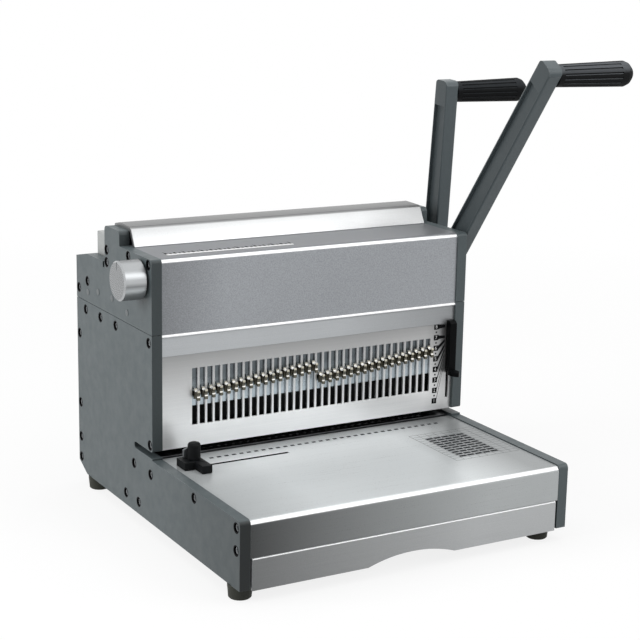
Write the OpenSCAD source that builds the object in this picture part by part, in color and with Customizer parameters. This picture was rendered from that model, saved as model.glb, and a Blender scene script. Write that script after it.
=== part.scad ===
// Wire binding machine: a desk punch with a slotted front, a wire closer along the top at the back,
// two side levers and a chip tray in the base.
// x runs from the middle of the machine to the right, y from the front of the base to the back,
// z up from the floor. place() then moves everything to the middle of the footprint.

/* [Side plates] */
// Width over the two side plates
frame_w = 371; // [340:1:400]
// Thickness of a side plate
plate_t = 11.2; // [9:0.1:13]
// Depth of the side plates
frame_d = 392; // [360:1:420]
// Depth of the upright part of the side plates
tower_d = 198.8; // [190:0.1:205]
// Height of the plates' lower edge above the floor
foot_h = 14; // [11:0.5:18]
// Height of the plates' edge beside the table
base_top = 81.2; // [76:0.1:86]
// Line between lower and upper plates above the cover's lower edge
split_up = 3.9; // [2:0.1:6]
// Gap along that line
split_gap = 0.6; // [0.4:0.1:1]
// Ledge of the upper plates above that line
ledge_up = 76.1; // [72:0.1:80]
// Tall block of the upper plates behind the upright's front edge
block_in = 79.8; // [74:0.1:84]
// Depth of the tall block
block_d = 39; // [36:0.5:42]
// Height of the tall block above the ledge
block_up = 15.5; // [12:0.5:18]
// Shelf behind the tall block above the line between the plates
shelf_up = 52.6; // [50:0.1:56]
// Fall of the shelf at its rear end
shelf_drop = 6.5; // [3:0.5:9]
// Length of the shelf's falling end
shelf_fall = 30; // [20:1:40]
// Width of the slit between tall block and shelf
slit_w = 4.5; // [3:0.5:6]
// Depth of the slit
slit_h = 6; // [3:0.5:8]
// Height of the cut at the heel of the lower plates
heel_h = 11; // [6:0.5:14]
// Length of the cut at the heel
heel_l = 22.4; // [14:0.5:28]
// Radius of the plates' corners
plate_r = 5; // [3:0.5:7]

/* [Throat] */
// Throat slot above the plates' edge beside the table
throat_up = 1.8; // [1:0.1:3]
// Height of the throat slot
throat_h = 6.8; // [6:0.1:8]
// Depth of the throat slot
throat_d = 45; // [42:0.5:50]
// Step from the table up to the die
die_step = 0.6; // [0.3:0.1:1]
// Thickness of the die
die_t = 18; // [12:0.5:22]
// Height of the guide block over the throat
guide_h = 41; // [36:0.5:44]
// Depth of the guide block
guide_d = 39.5; // [38:0.5:42]
// Die's front edge behind the upright's front edge
die_in = 9.8; // [8:0.1:11]

/* [Table] */
// Drop of the table's surface below the plates' edge
table_drop = 1.2; // [0.6:0.1:2]
// Sheet thickness of the table
table_t = 3; // [2:0.5:4]
// Reach of the table behind the upright's front edge
table_in = 5.3; // [4:0.1:6]
// Outer radius of the table's front edge
table_r = 6; // [4:0.5:8]
// Height of the line between table front and tray front
tray_split_z = 44; // [40:0.5:47]
// Edge guide's slot in front of the upright
guide_slot_back = 31.2; // [28:0.1:40]
// Left end of that slot from the left side plate
guide_slot_in = 8; // [6:0.5:12]
// Length of that slot
guide_slot_l = 119; // [110:1:140]
// Width of that slot
guide_slot_w = 4.6; // [4:0.1:6]

/* [Punch row] */
// Distance from pin to pin
pin_pitch = 8.467; // [8:0.001:9]
// Width that the row of pins leaves free between the plates
row_margin = 56; // [50:0.5:60]
// Middle of the row from the middle of the machine
row_x = 2.9; // [0:0.1:4]
// Diameter of a pin
pin_d = 5; // [4:0.1:5.4]
// Slotted panel behind the upright's front edge
panel_in = 4; // [3:0.1:5]
// Thickness of the slotted panel
panel_t = 2.5; // [2:0.1:3]
// Width of the flat bar in front of a pin
pin_bar_w = 5.4; // [4.6:0.1:5.6]
// Thickness of that bar
pin_bar_t = 4.8; // [4:0.1:5.2]
// Pin row behind those bars
row_in = 5; // [4.6:0.1:6]
// Lower end of the slots above the guide block's foot
slot_up = 22; // [20:0.1:24]
// Height of a slot
slot_h = 59.2; // [56:0.1:64]
// Width of a slot
slot_w = 6; // [5:0.1:6.4]
// Plain height of the panel above the slots
panel_head = 15; // [12:0.5:18]
// Rise from one pin to the next in each half row
pin_rise = 0.825; // [0.5:0.005:0.85]
// Thickness of a pull tab
tab_t = 3.4; // [2.4:0.1:4]
// Height of a pull tab
tab_h = 11.4; // [9:0.1:12]
// Reach of a pull tab in front of the panel
tab_l = 9.6; // [7:0.1:12]
// Depth of a pull tab's finger hollows
tab_waist = 2.6; // [1.5:0.1:3]
// Height of a pull tab's stem
tab_stem = 5; // [3:0.1:6]

/* [Punch drive] */
// Punch shaft behind the upright's front edge
shaft_in = 61.3; // [58:0.1:65]
// Punch shaft above the line between the plates
shaft_up = 11.1; // [11:0.1:14]
// Diameter of the punch shaft
shaft_d = 16; // [14:0.5:18]
// Throw of the punch cranks
crank_r = 22; // [20:0.5:23]
// Swing of the punch lever
punch_swing = 70; // [50:1:72]
// Diameter of the crank pins
crank_pin_d = 10; // [8:0.5:11]
// Thickness of a crank
crank_t = 7; // [5:0.5:9]
// Wall of a crank round its shaft
crank_wall = 6; // [4:0.5:7]
// Wall of a crank round its pin
crank_pin_wall = 4; // [3:0.5:5]
// Gap between a crank and the lug or carriage beside it
crank_gap = 1; // [0.6:0.1:1.5]
// Middle of each press lug from the side plate
lug_in = 56.3; // [50:0.1:70]
// Thickness of a press lug
lug_t = 10; // [8:0.5:12]
// Height of the press bar
press_h = 25; // [20:0.5:28]
// Ends of the press bar from the side plates
press_in = 16.3; // [15:0.1:22]
// Lowest place of the press bar above the slots
press_up = 7; // [5:0.5:9]
// Diameter of the guide posts
post_d = 12; // [10:0.5:14]
// Guide posts from the side plates
post_in = 28.3; // [26:0.1:32]
// Wire of the return springs
spring_wire = 2.2; // [1.8:0.1:2.6]
// Turns of a return spring
spring_turns = 6; // [4:1:7]

/* [Levers] */
// Front edge of a lever bar ahead of its shaft
arm_front = 9.5; // [8:0.5:12]
// Rear edge of a lever bar behind its shaft
arm_back = 18; // [15:0.5:19]
// Rear edge of a lever bar at its head
arm_head = 14; // [12:0.5:15]
// Height of a lever's head
head_h = 26; // [24:0.5:30]
// Radius of the head's corners
head_r = 8; // [4:0.5:10]
// Room beside the bar that the head's rounding starts from
head_step = 0.2; // [0.1:0.1:1]
// Thickness of a lever bar
arm_t = 16; // [12:0.5:18]
// Hub's sides lie inside those of the bar by
hub_in = 0.3; // [0.2:0.1:1]
// Radius along a lever bar's edges
arm_edge = 2; // [1:0.5:4]
// Gap between the right plate and the inner lever
arm_gap = 2; // [1.5:0.1:3]
// Gap between the two levers
lever_gap = 1; // [0.6:0.1:2]
// Length of the punch lever from shaft to grip
punch_arm_l = 299; // [280:1:320]
// Lean of the punch lever to the front
punch_lean = 36.1; // [30:0.1:40]
// Length of the closer lever from shaft to grip
closer_arm_l = 200.6; // [180:0.2:215]
// Lean of the closer lever to the front
closer_lean = 3.8; // [0:0.1:8]
// Radius of the levers' hubs
hub_r = 19; // [19:0.5:21]
// Length of a grip
grip_l = 95; // [80:1:110]
// Middle of a grip behind its lever's shaft
grip_back = 1; // [0:0.1:2]
// Diameter of a grip beside the lever
grip_d = 22.8; // [20:0.1:24]
// Diameter of a grip near its free end
grip_end_d = 26.6; // [25:0.1:29]
// Number of grooves along a grip
grip_grooves = 16; // [12:1:20]
// Depth of the pocket in a lever
pocket_h = 4; // [2:0.5:8]
// Rim of a lever beside its pocket
pocket_rim = 2.4; // [2:0.1:5]
// Pocket's end below a lever's grip
pocket_head = 15; // [14:1:40]
// Pocket's end above a lever's hub
pocket_foot = 22; // [16:1:30]

/* [Wire closer] */
// Closer shaft behind the upright's front edge
closer_in = 100.3; // [98:0.1:104]
// Closer shaft above the line between the plates
closer_up = 18.1; // [16:0.1:20]
// Diameter of the closer shaft
closer_d = 16; // [14:0.5:18]
// Throw of the closer cranks
closer_crank_r = 14; // [12:0.5:15]
// Swing of the closer lever
closer_swing = 60; // [45:1:60]
// Diameter of the closer crank pins
closer_pin_d = 8; // [6:0.5:9]
// Top of the closer bed above the line between the plates
bed_up = 47.1; // [46:0.1:49]
// Thickness of the closer bed
bed_t = 4.5; // [3:0.5:5]
// Thickness of the fixed jaw
jaw_t = 10; // [8:0.5:12]
// Opening between the jaws at rest
jaw_gap = 25; // [22:0.5:27]
// Depth of the moving jaw
bar_d = 26; // [22:0.5:28]
// Height of the moving jaw above the bed
bar_h = 29.5; // [24:0.5:33]
// Middle of each carriage from the side plate
carriage_in = 24.3; // [22:0.1:27]
// Thickness of a carriage
carriage_t = 8; // [6:0.5:9]
// Height of a carriage's bar
carriage_h = 11; // [8:0.5:12]

/* [Size knob] */
// Knob behind the upright's front edge
knob_in = 24.8; // [22:0.1:27]
// Knob above the line between the plates
knob_up = 53.1; // [50:0.1:55]
// Diameter of the knob
knob_d = 40; // [34:0.5:44]
// Length of the knob
knob_l = 24; // [18:0.5:28]
// Gap between knob and plate
knob_gap = 2; // [1:0.1:3]
// Bevel of the knob's face
knob_bevel = 1.6; // [0.8:0.1:2.5]
// Diameter of the knob's spindle
knob_spindle_d = 10; // [8:0.5:12]
// Largest radius of the stop cam
cam_r = 18; // [16:0.5:18.5]
// Lift of the stop cam
cam_lift = 6; // [4:0.5:8]

/* [Covers] */
// Front face of the upper cover behind the upright's front edge
cover_in = 1.8; // [1:0.1:2.5]
// Sheet thickness of the covers
cover_t = 2; // [1.5:0.1:3]
// Height of the header strip between panel and upper cover
header_h = 19.5; // [16:0.5:24]
// Step of the header strip in front of the panel
header_step = 1; // [0.6:0.1:1.4]
// Radius of the upper cover's top edge
cover_r = 5; // [4:0.5:7]
// Height of the bead along the upper cover's lower edge
bead_h = 3.2; // [2:0.1:4]
// Step of that bead in front of the cover
bead_out = 1; // [0.4:0.1:1.4]
// Slanted top bar's foot behind the upright's front edge
bar_foot_in = 66.8; // [63:0.1:70]
// Run of the slanted face to the back
bar_slant = 9; // [6:0.5:12]
// Height of the top bar above the tall blocks
bar_proud = 4.4; // [3:0.1:6]

/* [Scale slider] */
// Middle of the slider from the right side plate
slider_in = 5.3; // [5.2:0.1:8]
// Width of the slider
slider_w = 8; // [6:0.5:8.5]
// Lower end of the slider at rest above the guide block's foot
slider_up = 43.2; // [41:0.1:45]
// Height of the slider
slider_h = 57; // [50:0.5:60]
// Reach of the slider in front of the header strip
slider_l = 8.3; // [6:0.1:12]
// Height of the slider's stem in its slot
slider_stem = 24; // [16:0.5:28]
// Length of the leaf-shaped lip at the slider's foot
lip_l = 21; // [16:0.5:24]
// Width of that lip
lip_w = 11; // [8:0.5:12]
// Thickness of that lip
lip_h = 4.5; // [3:0.5:6]
// Lip's underside below the slider's body
lip_drop = 3; // [2:0.5:4]
// Width of the slider's slot
slider_slot_w = 3.4; // [3:0.1:4]
// Travel of the slider
slider_travel = 26; // [20:0.5:26]

/* [Edge guide] */
// Clamp post from the slot's left end
clamp_in = 12; // [9:0.5:16]
// Length of the guide block along the slot
block_w = 22; // [20:0.5:26]
// Left end of the guide block from the clamp post's axis
block_left = 14; // [10:0.5:14]
// Guide block's front face ahead of the slot
block_front = 9; // [7:0.5:12]
// Guide block's rear face behind the slot
block_back = 11.5; // [10.5:0.5:14]
// Height of the guide block
block_h = 8; // [6:0.5:10]
// Width of the toe at the guide block's right end
toe_w = 11; // [8:0.5:14]
// Reach of that toe ahead of the slot
toe_l = 25.5; // [16:0.5:30]
// Length of the block's tongue in the slot
tongue_l = 14; // [10:0.5:16]
// Diameter of the clamp post
clamp_d = 13; // [10:0.5:14]
// Height of the clamp post
clamp_h = 17; // [12:0.5:24]
// Diameter of the clamp screw
clamp_screw_d = 2.8; // [2.4:0.1:3]
// Thickness of the fence plate
fence_t = 3.2; // [2:0.1:3.4]
// Height of the fence plate
fence_h = 10; // [8:0.5:14]
// Length of the fence plate
fence_l = 16; // [12:0.5:16]

/* [Chip tray] */
// Sheet thickness of the tray
tray_t = 1.5; // [1:0.1:2]
// Depth of the tray
tray_d = 234; // [200:1:240]
// Thickness of the tray front
tray_front_t = 3.5; // [3:0.1:5]
// Lower edge of the tray front above the floor
tray_front_z = 12; // [10:0.5:13]
// Space beside the tray
tray_side = 4; // [3:0.1:6]
// Space beside the tray front
tray_end = 1.8; // [0.8:0.1:2.5]
// Width of the finger arch in the tray front
arch_w = 98; // [80:1:120]
// Rise of the finger arch
arch_h = 8.2; // [6:0.1:10]

/* [Base] */
// Thickness of the base pan
pan_t = 2; // [1.5:0.1:2.5]
// Base pan behind the front of the base
pan_in = 24; // [10:0.5:28]
// Thickness of the back panel
back_t = 2; // [1.5:0.1:3]
// Back panel in front of the plates' rear edges
back_in = 3.5; // [2:0.1:5]
// Thickness of the chassis deck
deck_t = 6; // [4:0.5:8]
// Diameter of the tie rods
rod_d = 10; // [8:0.5:11]
// Radius of a foot at its top
foot_r = 12; // [9:0.5:13]
// Front feet from the front of the base
foot_front = 20.5; // [16:0.5:30]
// Back feet from the back of the base
foot_back = 31; // [28:0.5:44]
// Left feet from the left plate's outer face
foot_left = 11; // [8:0.1:24]
// Right feet from the right plate's outer face
foot_right = 20; // [8:0.1:24]

/* [Rods and screws] */
// Front tie rod behind the upright's front edge
rod_in = 138.2; // [134:0.1:142]
// Front tie rod above the line between the plates
rod_up = 17.1; // [15:0.1:19]
// Rear tie rod behind the upright's front edge
rear_rod_in = 166.5; // [160:0.1:172]
// Rear tie rod above the line between the plates
rear_rod_up = 11.5; // [10:0.1:14]
// Diameter of a screw head
screw_head = 7; // [6:0.5:7.5]
// Diameter of the bore that a screw head sits in
screw_bore = 9; // [8:0.1:10]
// Depth of that bore
bore_h = 3.2; // [2.5:0.1:4]
// Diameter of a screw
screw_d = 4.5; // [3:0.1:5]
// Rear screws from the plates' rear edges
screw_in = 6.5; // [6:0.1:8]
// Front screws from the front of the base
screw_front = 7.4; // [6.5:0.1:9]
// Table screws below the plates' edge beside the table
table_screw_drop = 8; // [7:0.5:10]
// Lower table screw below that edge
low_screw_drop = 30; // [24:0.5:32]
// Middle pan screw behind the upright's front edge
pan_screw_in = 68; // [60:1:76]
// Middle pan screw above the plates' lower edge
pan_screw_up = 13; // [10:0.5:16]
// Rear pan screw above the plates' lower edge
heel_screw_up = 16; // [15:0.5:20]
// First deck screw behind the deck's front edge
deck_screw_in = 12.5; // [10:0.5:16]
// Distance from one deck screw to the next
deck_screw_gap = 41; // [36:0.5:46]
// Upper back screw below the line between the plates
back_screw_top = 38.9; // [34:0.1:44]
// Middle back screw above the plates' edge beside the table
back_screw_mid = 11; // [8:0.5:16]
// Lower back screw below that edge
back_screw_low = 28; // [22:0.5:32]
// Screw over the rear tie rod behind the upright's front edge
shelf_screw_in = 168; // [164:0.5:172]
// Screw over the rear tie rod above the line between the plates
shelf_screw_up = 23.1; // [22:0.1:26]
// Last upper screw above the line between the plates
end_screw_up = 11.8; // [10:0.1:14]

/* [Fits] */
// Radial clearance of a running fit
run_gap = 0.05; // [0.02:0.01:0.09]
// Clearance between sliding pieces
slide_gap = 0.3; // [0.3:0.05:0.4]
// Clearance beside moving pieces
side_gap = 0.5; // [0.4:0.1:0.6]

/* [Hidden] */
$fn = 64;

// Widths
half_w = frame_w / 2;
inner_x = half_w - plate_t;
pin_count = 2 * floor((2 * inner_x - row_margin) / (2 * pin_pitch));
half_count = pin_count / 2;
lug_x = inner_x - lug_in;
press_half = inner_x - press_in;
post_x = inner_x - post_in;
carriage_x = inner_x - carriage_in;
slider_x = inner_x - slider_in;
feet_x = [foot_left - half_w, half_w - foot_right];
tray_half = inner_x - tray_side;

// Levers and grips
arm1_x = half_w + arm_gap;
arm2_x = arm1_x + arm_t + lever_gap;

// Middle of the footprint
mid_x = (arm2_x + arm_t + grip_l - half_w - knob_gap - knob_l) / 2;
mid_y = frame_d / 2;

// Heights, from the table up
table_z = base_top - table_drop;
die_top = table_z + die_step;
throat_z = base_top + throat_up;
guide_z = throat_z + throat_h;
guide_top = guide_z + guide_h;
slot_z = guide_z + slot_up;
panel_top = slot_z + slot_h + panel_head;
cover_z = panel_top + header_h;
split_z = cover_z + split_up;
ledge_z = split_z + ledge_up;
block_top = ledge_z + block_up;
shelf_z = split_z + shelf_up;
shaft_z = split_z + shaft_up;
closer_z = split_z + closer_up;
knob_z = split_z + knob_up;
bed_z = split_z + bed_up;
bar_top = bed_z + bar_h;
slider_z = guide_z + slider_up;
deck_z = split_z - 2 * deck_t;

// Depths, from the upright's front edge to the back
upright_y = frame_d - tower_d;
table_back = upright_y + table_in;
guide_slot_y = upright_y - guide_slot_back;
cover_y = upright_y + cover_in;
panel_y = upright_y + panel_in;
header_y = panel_y - header_step;
pin_bar_y = panel_y + panel_t + side_gap;
row_y = pin_bar_y + pin_bar_t + row_in;
guide_y = pin_bar_y + pin_bar_t + side_gap;
guide_back = guide_y + guide_d;
die_y = upright_y + die_in;
knob_y = upright_y + knob_in;
shaft_y = upright_y + shaft_in;
closer_y = upright_y + closer_in;
bar_foot_y = upright_y + bar_foot_in;
block_y = upright_y + block_in;
jaw_y = block_y + block_d;
bar_y = jaw_y + jaw_gap;
back_y = frame_d - back_t - back_in;
deck_y = shaft_y + shaft_d / 2 + crank_wall + 4;

// Punch motion
half_swing = punch_swing / 2;
stroke = 2 * crank_r * sin(half_swing);
press_z = slot_z + slot_h + press_up;
press_y = pin_bar_y;
crank_y = shaft_y - crank_r * cos(half_swing);
crank_z = shaft_z + crank_r * sin(half_swing);
yoke_play = 0.65;
lug_back = shaft_y - shaft_d / 2 - 3.5;
lug_front = shaft_y - crank_r - crank_pin_d / 2 - 5.5;
post_y = guide_back - post_d;
tab_drop = 2;
tab_z = slot_z + stroke + tab_drop;
stem_up = (tab_h - tab_stem) / 2;
pin_seat = 12;
pin_top = press_z + pin_seat;
pin_end = guide_z + 1;

// Closer motion
close_half = closer_swing / 2;
close_travel = 2 * closer_crank_r * sin(close_half);
close_pin_y = closer_y + closer_crank_r * sin(close_half);
close_pin_z = closer_z + closer_crank_r * cos(close_half);
neck_in = 5;
neck_y = bar_y + neck_in;
neck_d = bar_d - 2 * neck_in;
carriage_top = bed_z - bed_t - slide_gap;
nose_y = knob_y + cam_r + close_travel + slide_gap;

// Slots and openings that follow the moving pieces
slider_y = header_y - slide_gap;
stem_z = slider_z - lip_drop;
slider_slot_z = stem_z - slider_travel - 2;
slider_slot_h = slider_stem + slider_travel + 4;
guide_slot_x = guide_slot_in - inner_x;
clamp_x = guide_slot_x + clamp_in;
tray_y = tray_front_t;
tray_floor = foot_h + pan_t + 4;
tray_top = tray_split_z - 2;

// Bearings, plugs and rods
bush_wall = 3;
bush_d = shaft_d + 2 * bush_wall;
closer_bush_d = closer_d + 2 * bush_wall;
knob_bush_d = knob_spindle_d + 2 * bush_wall - 1;
blind_wall = 3;
plug_d = 7;
rods = [[upright_y + rod_in, split_z + rod_up], [upright_y + rear_rod_in, split_z + rear_rod_up]];

// Screws in the side plates, by what they hold: [y, z]
table_screws = [
    [screw_front, base_top - table_screw_drop], [screw_front, base_top - low_screw_drop],
    [upright_y / 2, base_top - table_screw_drop]
];
die_screws = [[upright_y + 4.8, die_top - die_t + 3], [guide_back - 5.5, die_top - die_t + 3]];
guide_screws = [[upright_y + 5.8, guide_z + 6.2], [upright_y + 7.8, split_z - 8.4]];
runner_screws = [[tray_y + tray_d - 9, tray_floor + 7]];
pan_screws = [
    [upright_y + pan_screw_in, foot_h + pan_screw_up], [frame_d - screw_in, foot_h + heel_screw_up]
];
deck_screws = [
    for (y = [deck_y + deck_screw_in : deck_screw_gap : back_y - deck_screw_in]) [y, deck_z + deck_t / 2]
];
back_screws = [
    [frame_d - screw_in, split_z - back_screw_top], [frame_d - screw_in, base_top + back_screw_mid],
    [frame_d - screw_in, base_top - back_screw_low]
];
lower_screws = concat(
    table_screws, die_screws, guide_screws, runner_screws, pan_screws, deck_screws, back_screws
);
upper_screws = [
    [jaw_y - jaw_t / 2, ledge_z - 9.5], [jaw_y - jaw_t / 2, ledge_z - 22.5],
    [bar_foot_y - 9.6, ledge_z - 6], [upright_y + 7.8, ledge_z - 6],
    [upright_y + shelf_screw_in, split_z + shelf_screw_up], [frame_d - screw_in, split_z + end_screw_up]
];

PAINT = [0.40, 0.44, 0.45];
SILVER = [0.72, 0.73, 0.74];
PALE = [0.80, 0.82, 0.81];
STEEL = [0.62, 0.63, 0.65];
DARK = [0.16, 0.17, 0.18];
BRONZE = [0.66, 0.52, 0.30];
NICKEL = [0.60, 0.55, 0.48];
BLACK = [0.07, 0.07, 0.08];

// Moves the machine so that the middle of its footprint is the origin
module place() {
    translate([-mid_x, -mid_y, 0]) children();
}

// Extrudes a profile drawn in y and z from x0 to x1
module along_x(x0, x1) {
    translate([x0, 0, 0]) rotate([90, 0, 90]) linear_extrude(x1 - x0) children();
}

// A round bar along x
module bar_x(x0, x1, y, z, d) {
    translate([x0, y, z]) rotate([0, 90, 0]) cylinder(h = x1 - x0, d = d);
}

// What rounding takes off a profile's corner: in_y and in_z point into the material
module corner_cut(p, r, in_y, in_z) {
    translate(p) difference() {
        translate([in_y > 0 ? -1 : -r, in_z > 0 ? -1 : -r]) square(r + 1);
        translate([in_y * r, in_z * r]) circle(r);
    }
}

module rounded_rect(w, h, r) {
    square([w - 2 * r, h], center = true);
    square([w, h - 2 * r], center = true);
    for (sx = [-1, 1], sy = [-1, 1])
        translate([sx * (w / 2 - r), sy * (h / 2 - r)]) circle(r);
}

// Two round ends joined by their common tangents, the second at distance d along the first axis
module link_outline(d, r1, r2) {
    a = acos((r1 - r2) / d);
    circle(r1);
    translate([d, 0]) circle(r2);
    polygon([
        r1 * [cos(a), sin(a)], [d, 0] + r2 * [cos(a), sin(a)],
        [d, 0] + r2 * [cos(a), -sin(a)], r1 * [cos(a), -sin(a)]
    ]);
}

// Slot with one round end, from y0 back to y1
module round_slot(y0, y1, z0, h) {
    translate([y0, z0]) square([y1 - h / 2 - y0, h]);
    translate([y1 - h / 2, z0 + h / 2]) circle(h / 2);
}

// Countersunk holes for the side plate screws, from the outer face inwards
module screw_holes(list) {
    for (p = list) {
        bar_x(-half_w - 1, -inner_x + 1, p[0], p[1], screw_d);
        bar_x(-half_w - 1, -half_w + bore_h, p[0], p[1], screw_bore);
    }
}

module lower_profile() {
    difference() {
        polygon([
            [0, foot_h], [0, base_top], [upright_y, base_top], [upright_y, split_z],
            [frame_d, split_z], [frame_d, foot_h + heel_h], [frame_d - heel_l, foot_h]
        ]);
        round_slot(upright_y - 1, upright_y + throat_d, throat_z, throat_h);
        corner_cut([0, base_top], plate_r, 1, -1);
        corner_cut([upright_y, throat_z + throat_h], plate_r / 2, 1, 1);
    }
}

module upper_profile() {
    difference() {
        polygon([
            [upright_y, split_z + split_gap], [upright_y, ledge_z], [block_y, ledge_z],
            [block_y, block_top], [jaw_y, block_top], [jaw_y, shelf_z],
            [jaw_y + 1, shelf_z], [jaw_y + 1, shelf_z - slit_h],
            [jaw_y + 1 + slit_w, shelf_z - slit_h], [jaw_y + 1 + slit_w, shelf_z],
            [frame_d - shelf_fall, shelf_z], [frame_d, shelf_z - shelf_drop],
            [frame_d, split_z + split_gap]
        ]);
        corner_cut([upright_y, ledge_z], plate_r - 1, 1, -1);
        corner_cut([block_y, block_top], plate_r, 1, -1);
        corner_cut([jaw_y, block_top], plate_r, -1, -1);
    }
}

module lower_plate() {
    difference() {
        along_x(-half_w, -inner_x) lower_profile();
        screw_holes(lower_screws);
    }
}

module upper_plate() {
    difference() {
        along_x(-half_w, -inner_x) upper_profile();
        screw_holes(upper_screws);
    }
}

module left_lower_plate() {
    place() color(PAINT) lower_plate();
}

module right_lower_plate() {
    place() color(PAINT) mirror([1, 0, 0]) lower_plate();
}

// The left plate hides both shafts behind blind bores, and carries the knob
module left_upper_plate() {
    place() color(PAINT) difference() {
        upper_plate();
        bar_x(-half_w + blind_wall, -inner_x + 1, shaft_y, shaft_z, bush_d);
        bar_x(-half_w + blind_wall, -inner_x + 1, closer_y, closer_z, closer_bush_d);
        bar_x(-half_w - 1, -inner_x + 1, knob_y, knob_z, knob_bush_d);
        for (p = concat([[shaft_y, shaft_z], [closer_y, closer_z]], rods))
            bar_x(-half_w - 1, -half_w + blind_wall + 0.5, p[0], p[1], plug_d);
        for (p = rods)
            bar_x(-half_w + blind_wall, -inner_x + 1, p[0], p[1], rod_d);
    }
}

module right_upper_plate() {
    place() color(PAINT) difference() {
        mirror([1, 0, 0]) upper_plate();
        bar_x(inner_x - 1, half_w + 1, shaft_y, shaft_z, bush_d);
        bar_x(inner_x - 1, half_w + 1, closer_y, closer_z, closer_bush_d);
        for (p = rods)
            bar_x(inner_x - 1, half_w - blind_wall, p[0], p[1], rod_d);
    }
}

// Sheet table with a rolled front edge, folded down to the tray
module table_top() {
    inner_r = table_r - table_t;
    place() color(SILVER) difference() {
        along_x(-inner_x, inner_x) difference() {
            polygon([
                [0, tray_split_z], [0, table_z], [table_back, table_z],
                [table_back, table_z - table_t], [table_t + inner_r, table_z - table_t],
                [table_t, table_z - table_r], [table_t, tray_split_z]
            ]);
            corner_cut([0, table_z], table_r, 1, -1);
            translate([table_r, table_z - table_r]) circle(inner_r);
        }
        translate([guide_slot_x, guide_slot_y - guide_slot_w / 2, table_z - table_t - 1])
            cube([guide_slot_l, guide_slot_w, table_t + 2]);
    }
}

function pin_x(i) = row_x + (i - (pin_count - 1) / 2) * pin_pitch;
function pin_lift(i) = pin_rise * (i % half_count);

module front_panel() {
    place() color(SILVER) difference() {
        translate([-inner_x, panel_y, guide_z - 0.5]) cube([2 * inner_x, panel_t, panel_top - guide_z + 0.5]);
        for (i = [0 : pin_count - 1])
            translate([pin_x(i) - slot_w / 2, panel_y - 1, slot_z]) cube([slot_w, panel_t + 2, slot_h]);
        translate([slider_x - slider_slot_w / 2, panel_y - 1, slider_slot_z])
            cube([slider_slot_w, panel_t + 2, slider_slot_h]);
    }
}

module header_strip() {
    place() color(SILVER) along_x(-inner_x, inner_x) polygon([
        [header_y, panel_top], [header_y, cover_z + 2 * cover_t], [panel_y + panel_t, cover_z + 2 * cover_t],
        [panel_y + panel_t, panel_top]
    ]);
}

// Folded sheet: front face, rolled top edge, ledge back to the fixed jaw, and a hem with a bead below
module upper_cover() {
    place() color(SILVER) along_x(-inner_x, inner_x) {
        difference() {
            polygon([
                [cover_y, cover_z + 1], [cover_y, ledge_z], [jaw_y - jaw_t, ledge_z],
                [jaw_y - jaw_t, ledge_z - cover_t], [cover_y + cover_r, ledge_z - cover_t],
                [cover_y + cover_t, ledge_z - cover_r], [cover_y + cover_t, cover_z + 2 * cover_t],
                [header_y, cover_z + 2 * cover_t], [header_y, cover_z], [cover_y + 1, cover_z]
            ]);
            corner_cut([cover_y, ledge_z], cover_r, 1, -1);
        }
        difference() {
            translate([cover_y - bead_out + bead_h / 2, cover_z + bead_h / 2]) circle(bead_h / 2);
            translate([header_y, cover_z - 1]) square(bead_h + 2);
        }
    }
}

// Slanted cover over the fixed jaw
module top_bar() {
    top_z = block_top + bar_proud;
    wall = cover_t + 1;
    place() color(SILVER) along_x(-inner_x, inner_x) polygon([
        [bar_foot_y, ledge_z], [bar_foot_y + bar_slant, top_z - 3], [bar_foot_y + bar_slant + 4, top_z - 0.6],
        [jaw_y - 14, top_z], [jaw_y, top_z - 3], [jaw_y, block_top - 1],
        [bar_foot_y + bar_slant + wall, block_top - 1], [bar_foot_y + wall + 1, ledge_z]
    ]);
}

module fixed_jaw() {
    nose = 2;
    place() color(STEEL) along_x(-inner_x, inner_x) polygon([
        [jaw_y - jaw_t, bed_z - bed_t], [jaw_y - jaw_t, block_top - 1], [jaw_y - nose, block_top - 1],
        [jaw_y, block_top - 1 - 3 * nose], [jaw_y, bed_z - bed_t]
    ]);
}

module closer_bed() {
    slot_y0 = neck_y - close_travel - 1;
    place() color(PALE) difference() {
        translate([-inner_x, jaw_y, bed_z - bed_t]) cube([2 * inner_x, back_y + back_t - jaw_y, bed_t]);
        for (s = [-1, 1])
            translate([s * carriage_x - carriage_t / 2 - side_gap, slot_y0, bed_z - bed_t - 1])
                cube([carriage_t + 2 * side_gap, neck_y + neck_d + 1 - slot_y0, bed_t + 2]);
    }
}

module back_panel() {
    flange = 12;
    low = foot_h + pan_t;
    place() color(PAINT) {
        translate([-inner_x, back_y, low]) cube([2 * inner_x, back_t, bed_z - bed_t - low]);
        for (s = [0, 1])
            mirror([s, 0, 0]) translate([inner_x - back_t, back_y - flange, low + 2])
                cube([back_t, flange, deck_z - low - 4]);
    }
}

module base_pan() {
    place() color(PAINT) translate([-inner_x, pan_in, foot_h])
        cube([2 * inner_x, back_y + back_t - pan_in, pan_t]);
}

module chassis_deck() {
    place() color(PAINT) translate([-inner_x, deck_y, deck_z])
        cube([2 * inner_x, back_y - deck_y, deck_t]);
}

module tie_rods() {
    place() color(STEEL) for (p = rods)
        bar_x(-half_w + blind_wall + 0.5, half_w - blind_wall, p[0], p[1], rod_d);
}

// Guide block over the throat, with a bore for each pin and the seats of the two posts
module punch_guide() {
    place() color(DARK) difference() {
        translate([-inner_x, guide_y, guide_z]) cube([2 * inner_x, guide_d, guide_h]);
        for (i = [0 : pin_count - 1])
            translate([pin_x(i), row_y, guide_z - 1]) cylinder(h = guide_h + 2, r = pin_d / 2 + run_gap);
        for (s = [-1, 1])
            translate([s * post_x, post_y, guide_z + 8]) cylinder(h = guide_h, d = post_d);
    }
}

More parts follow.
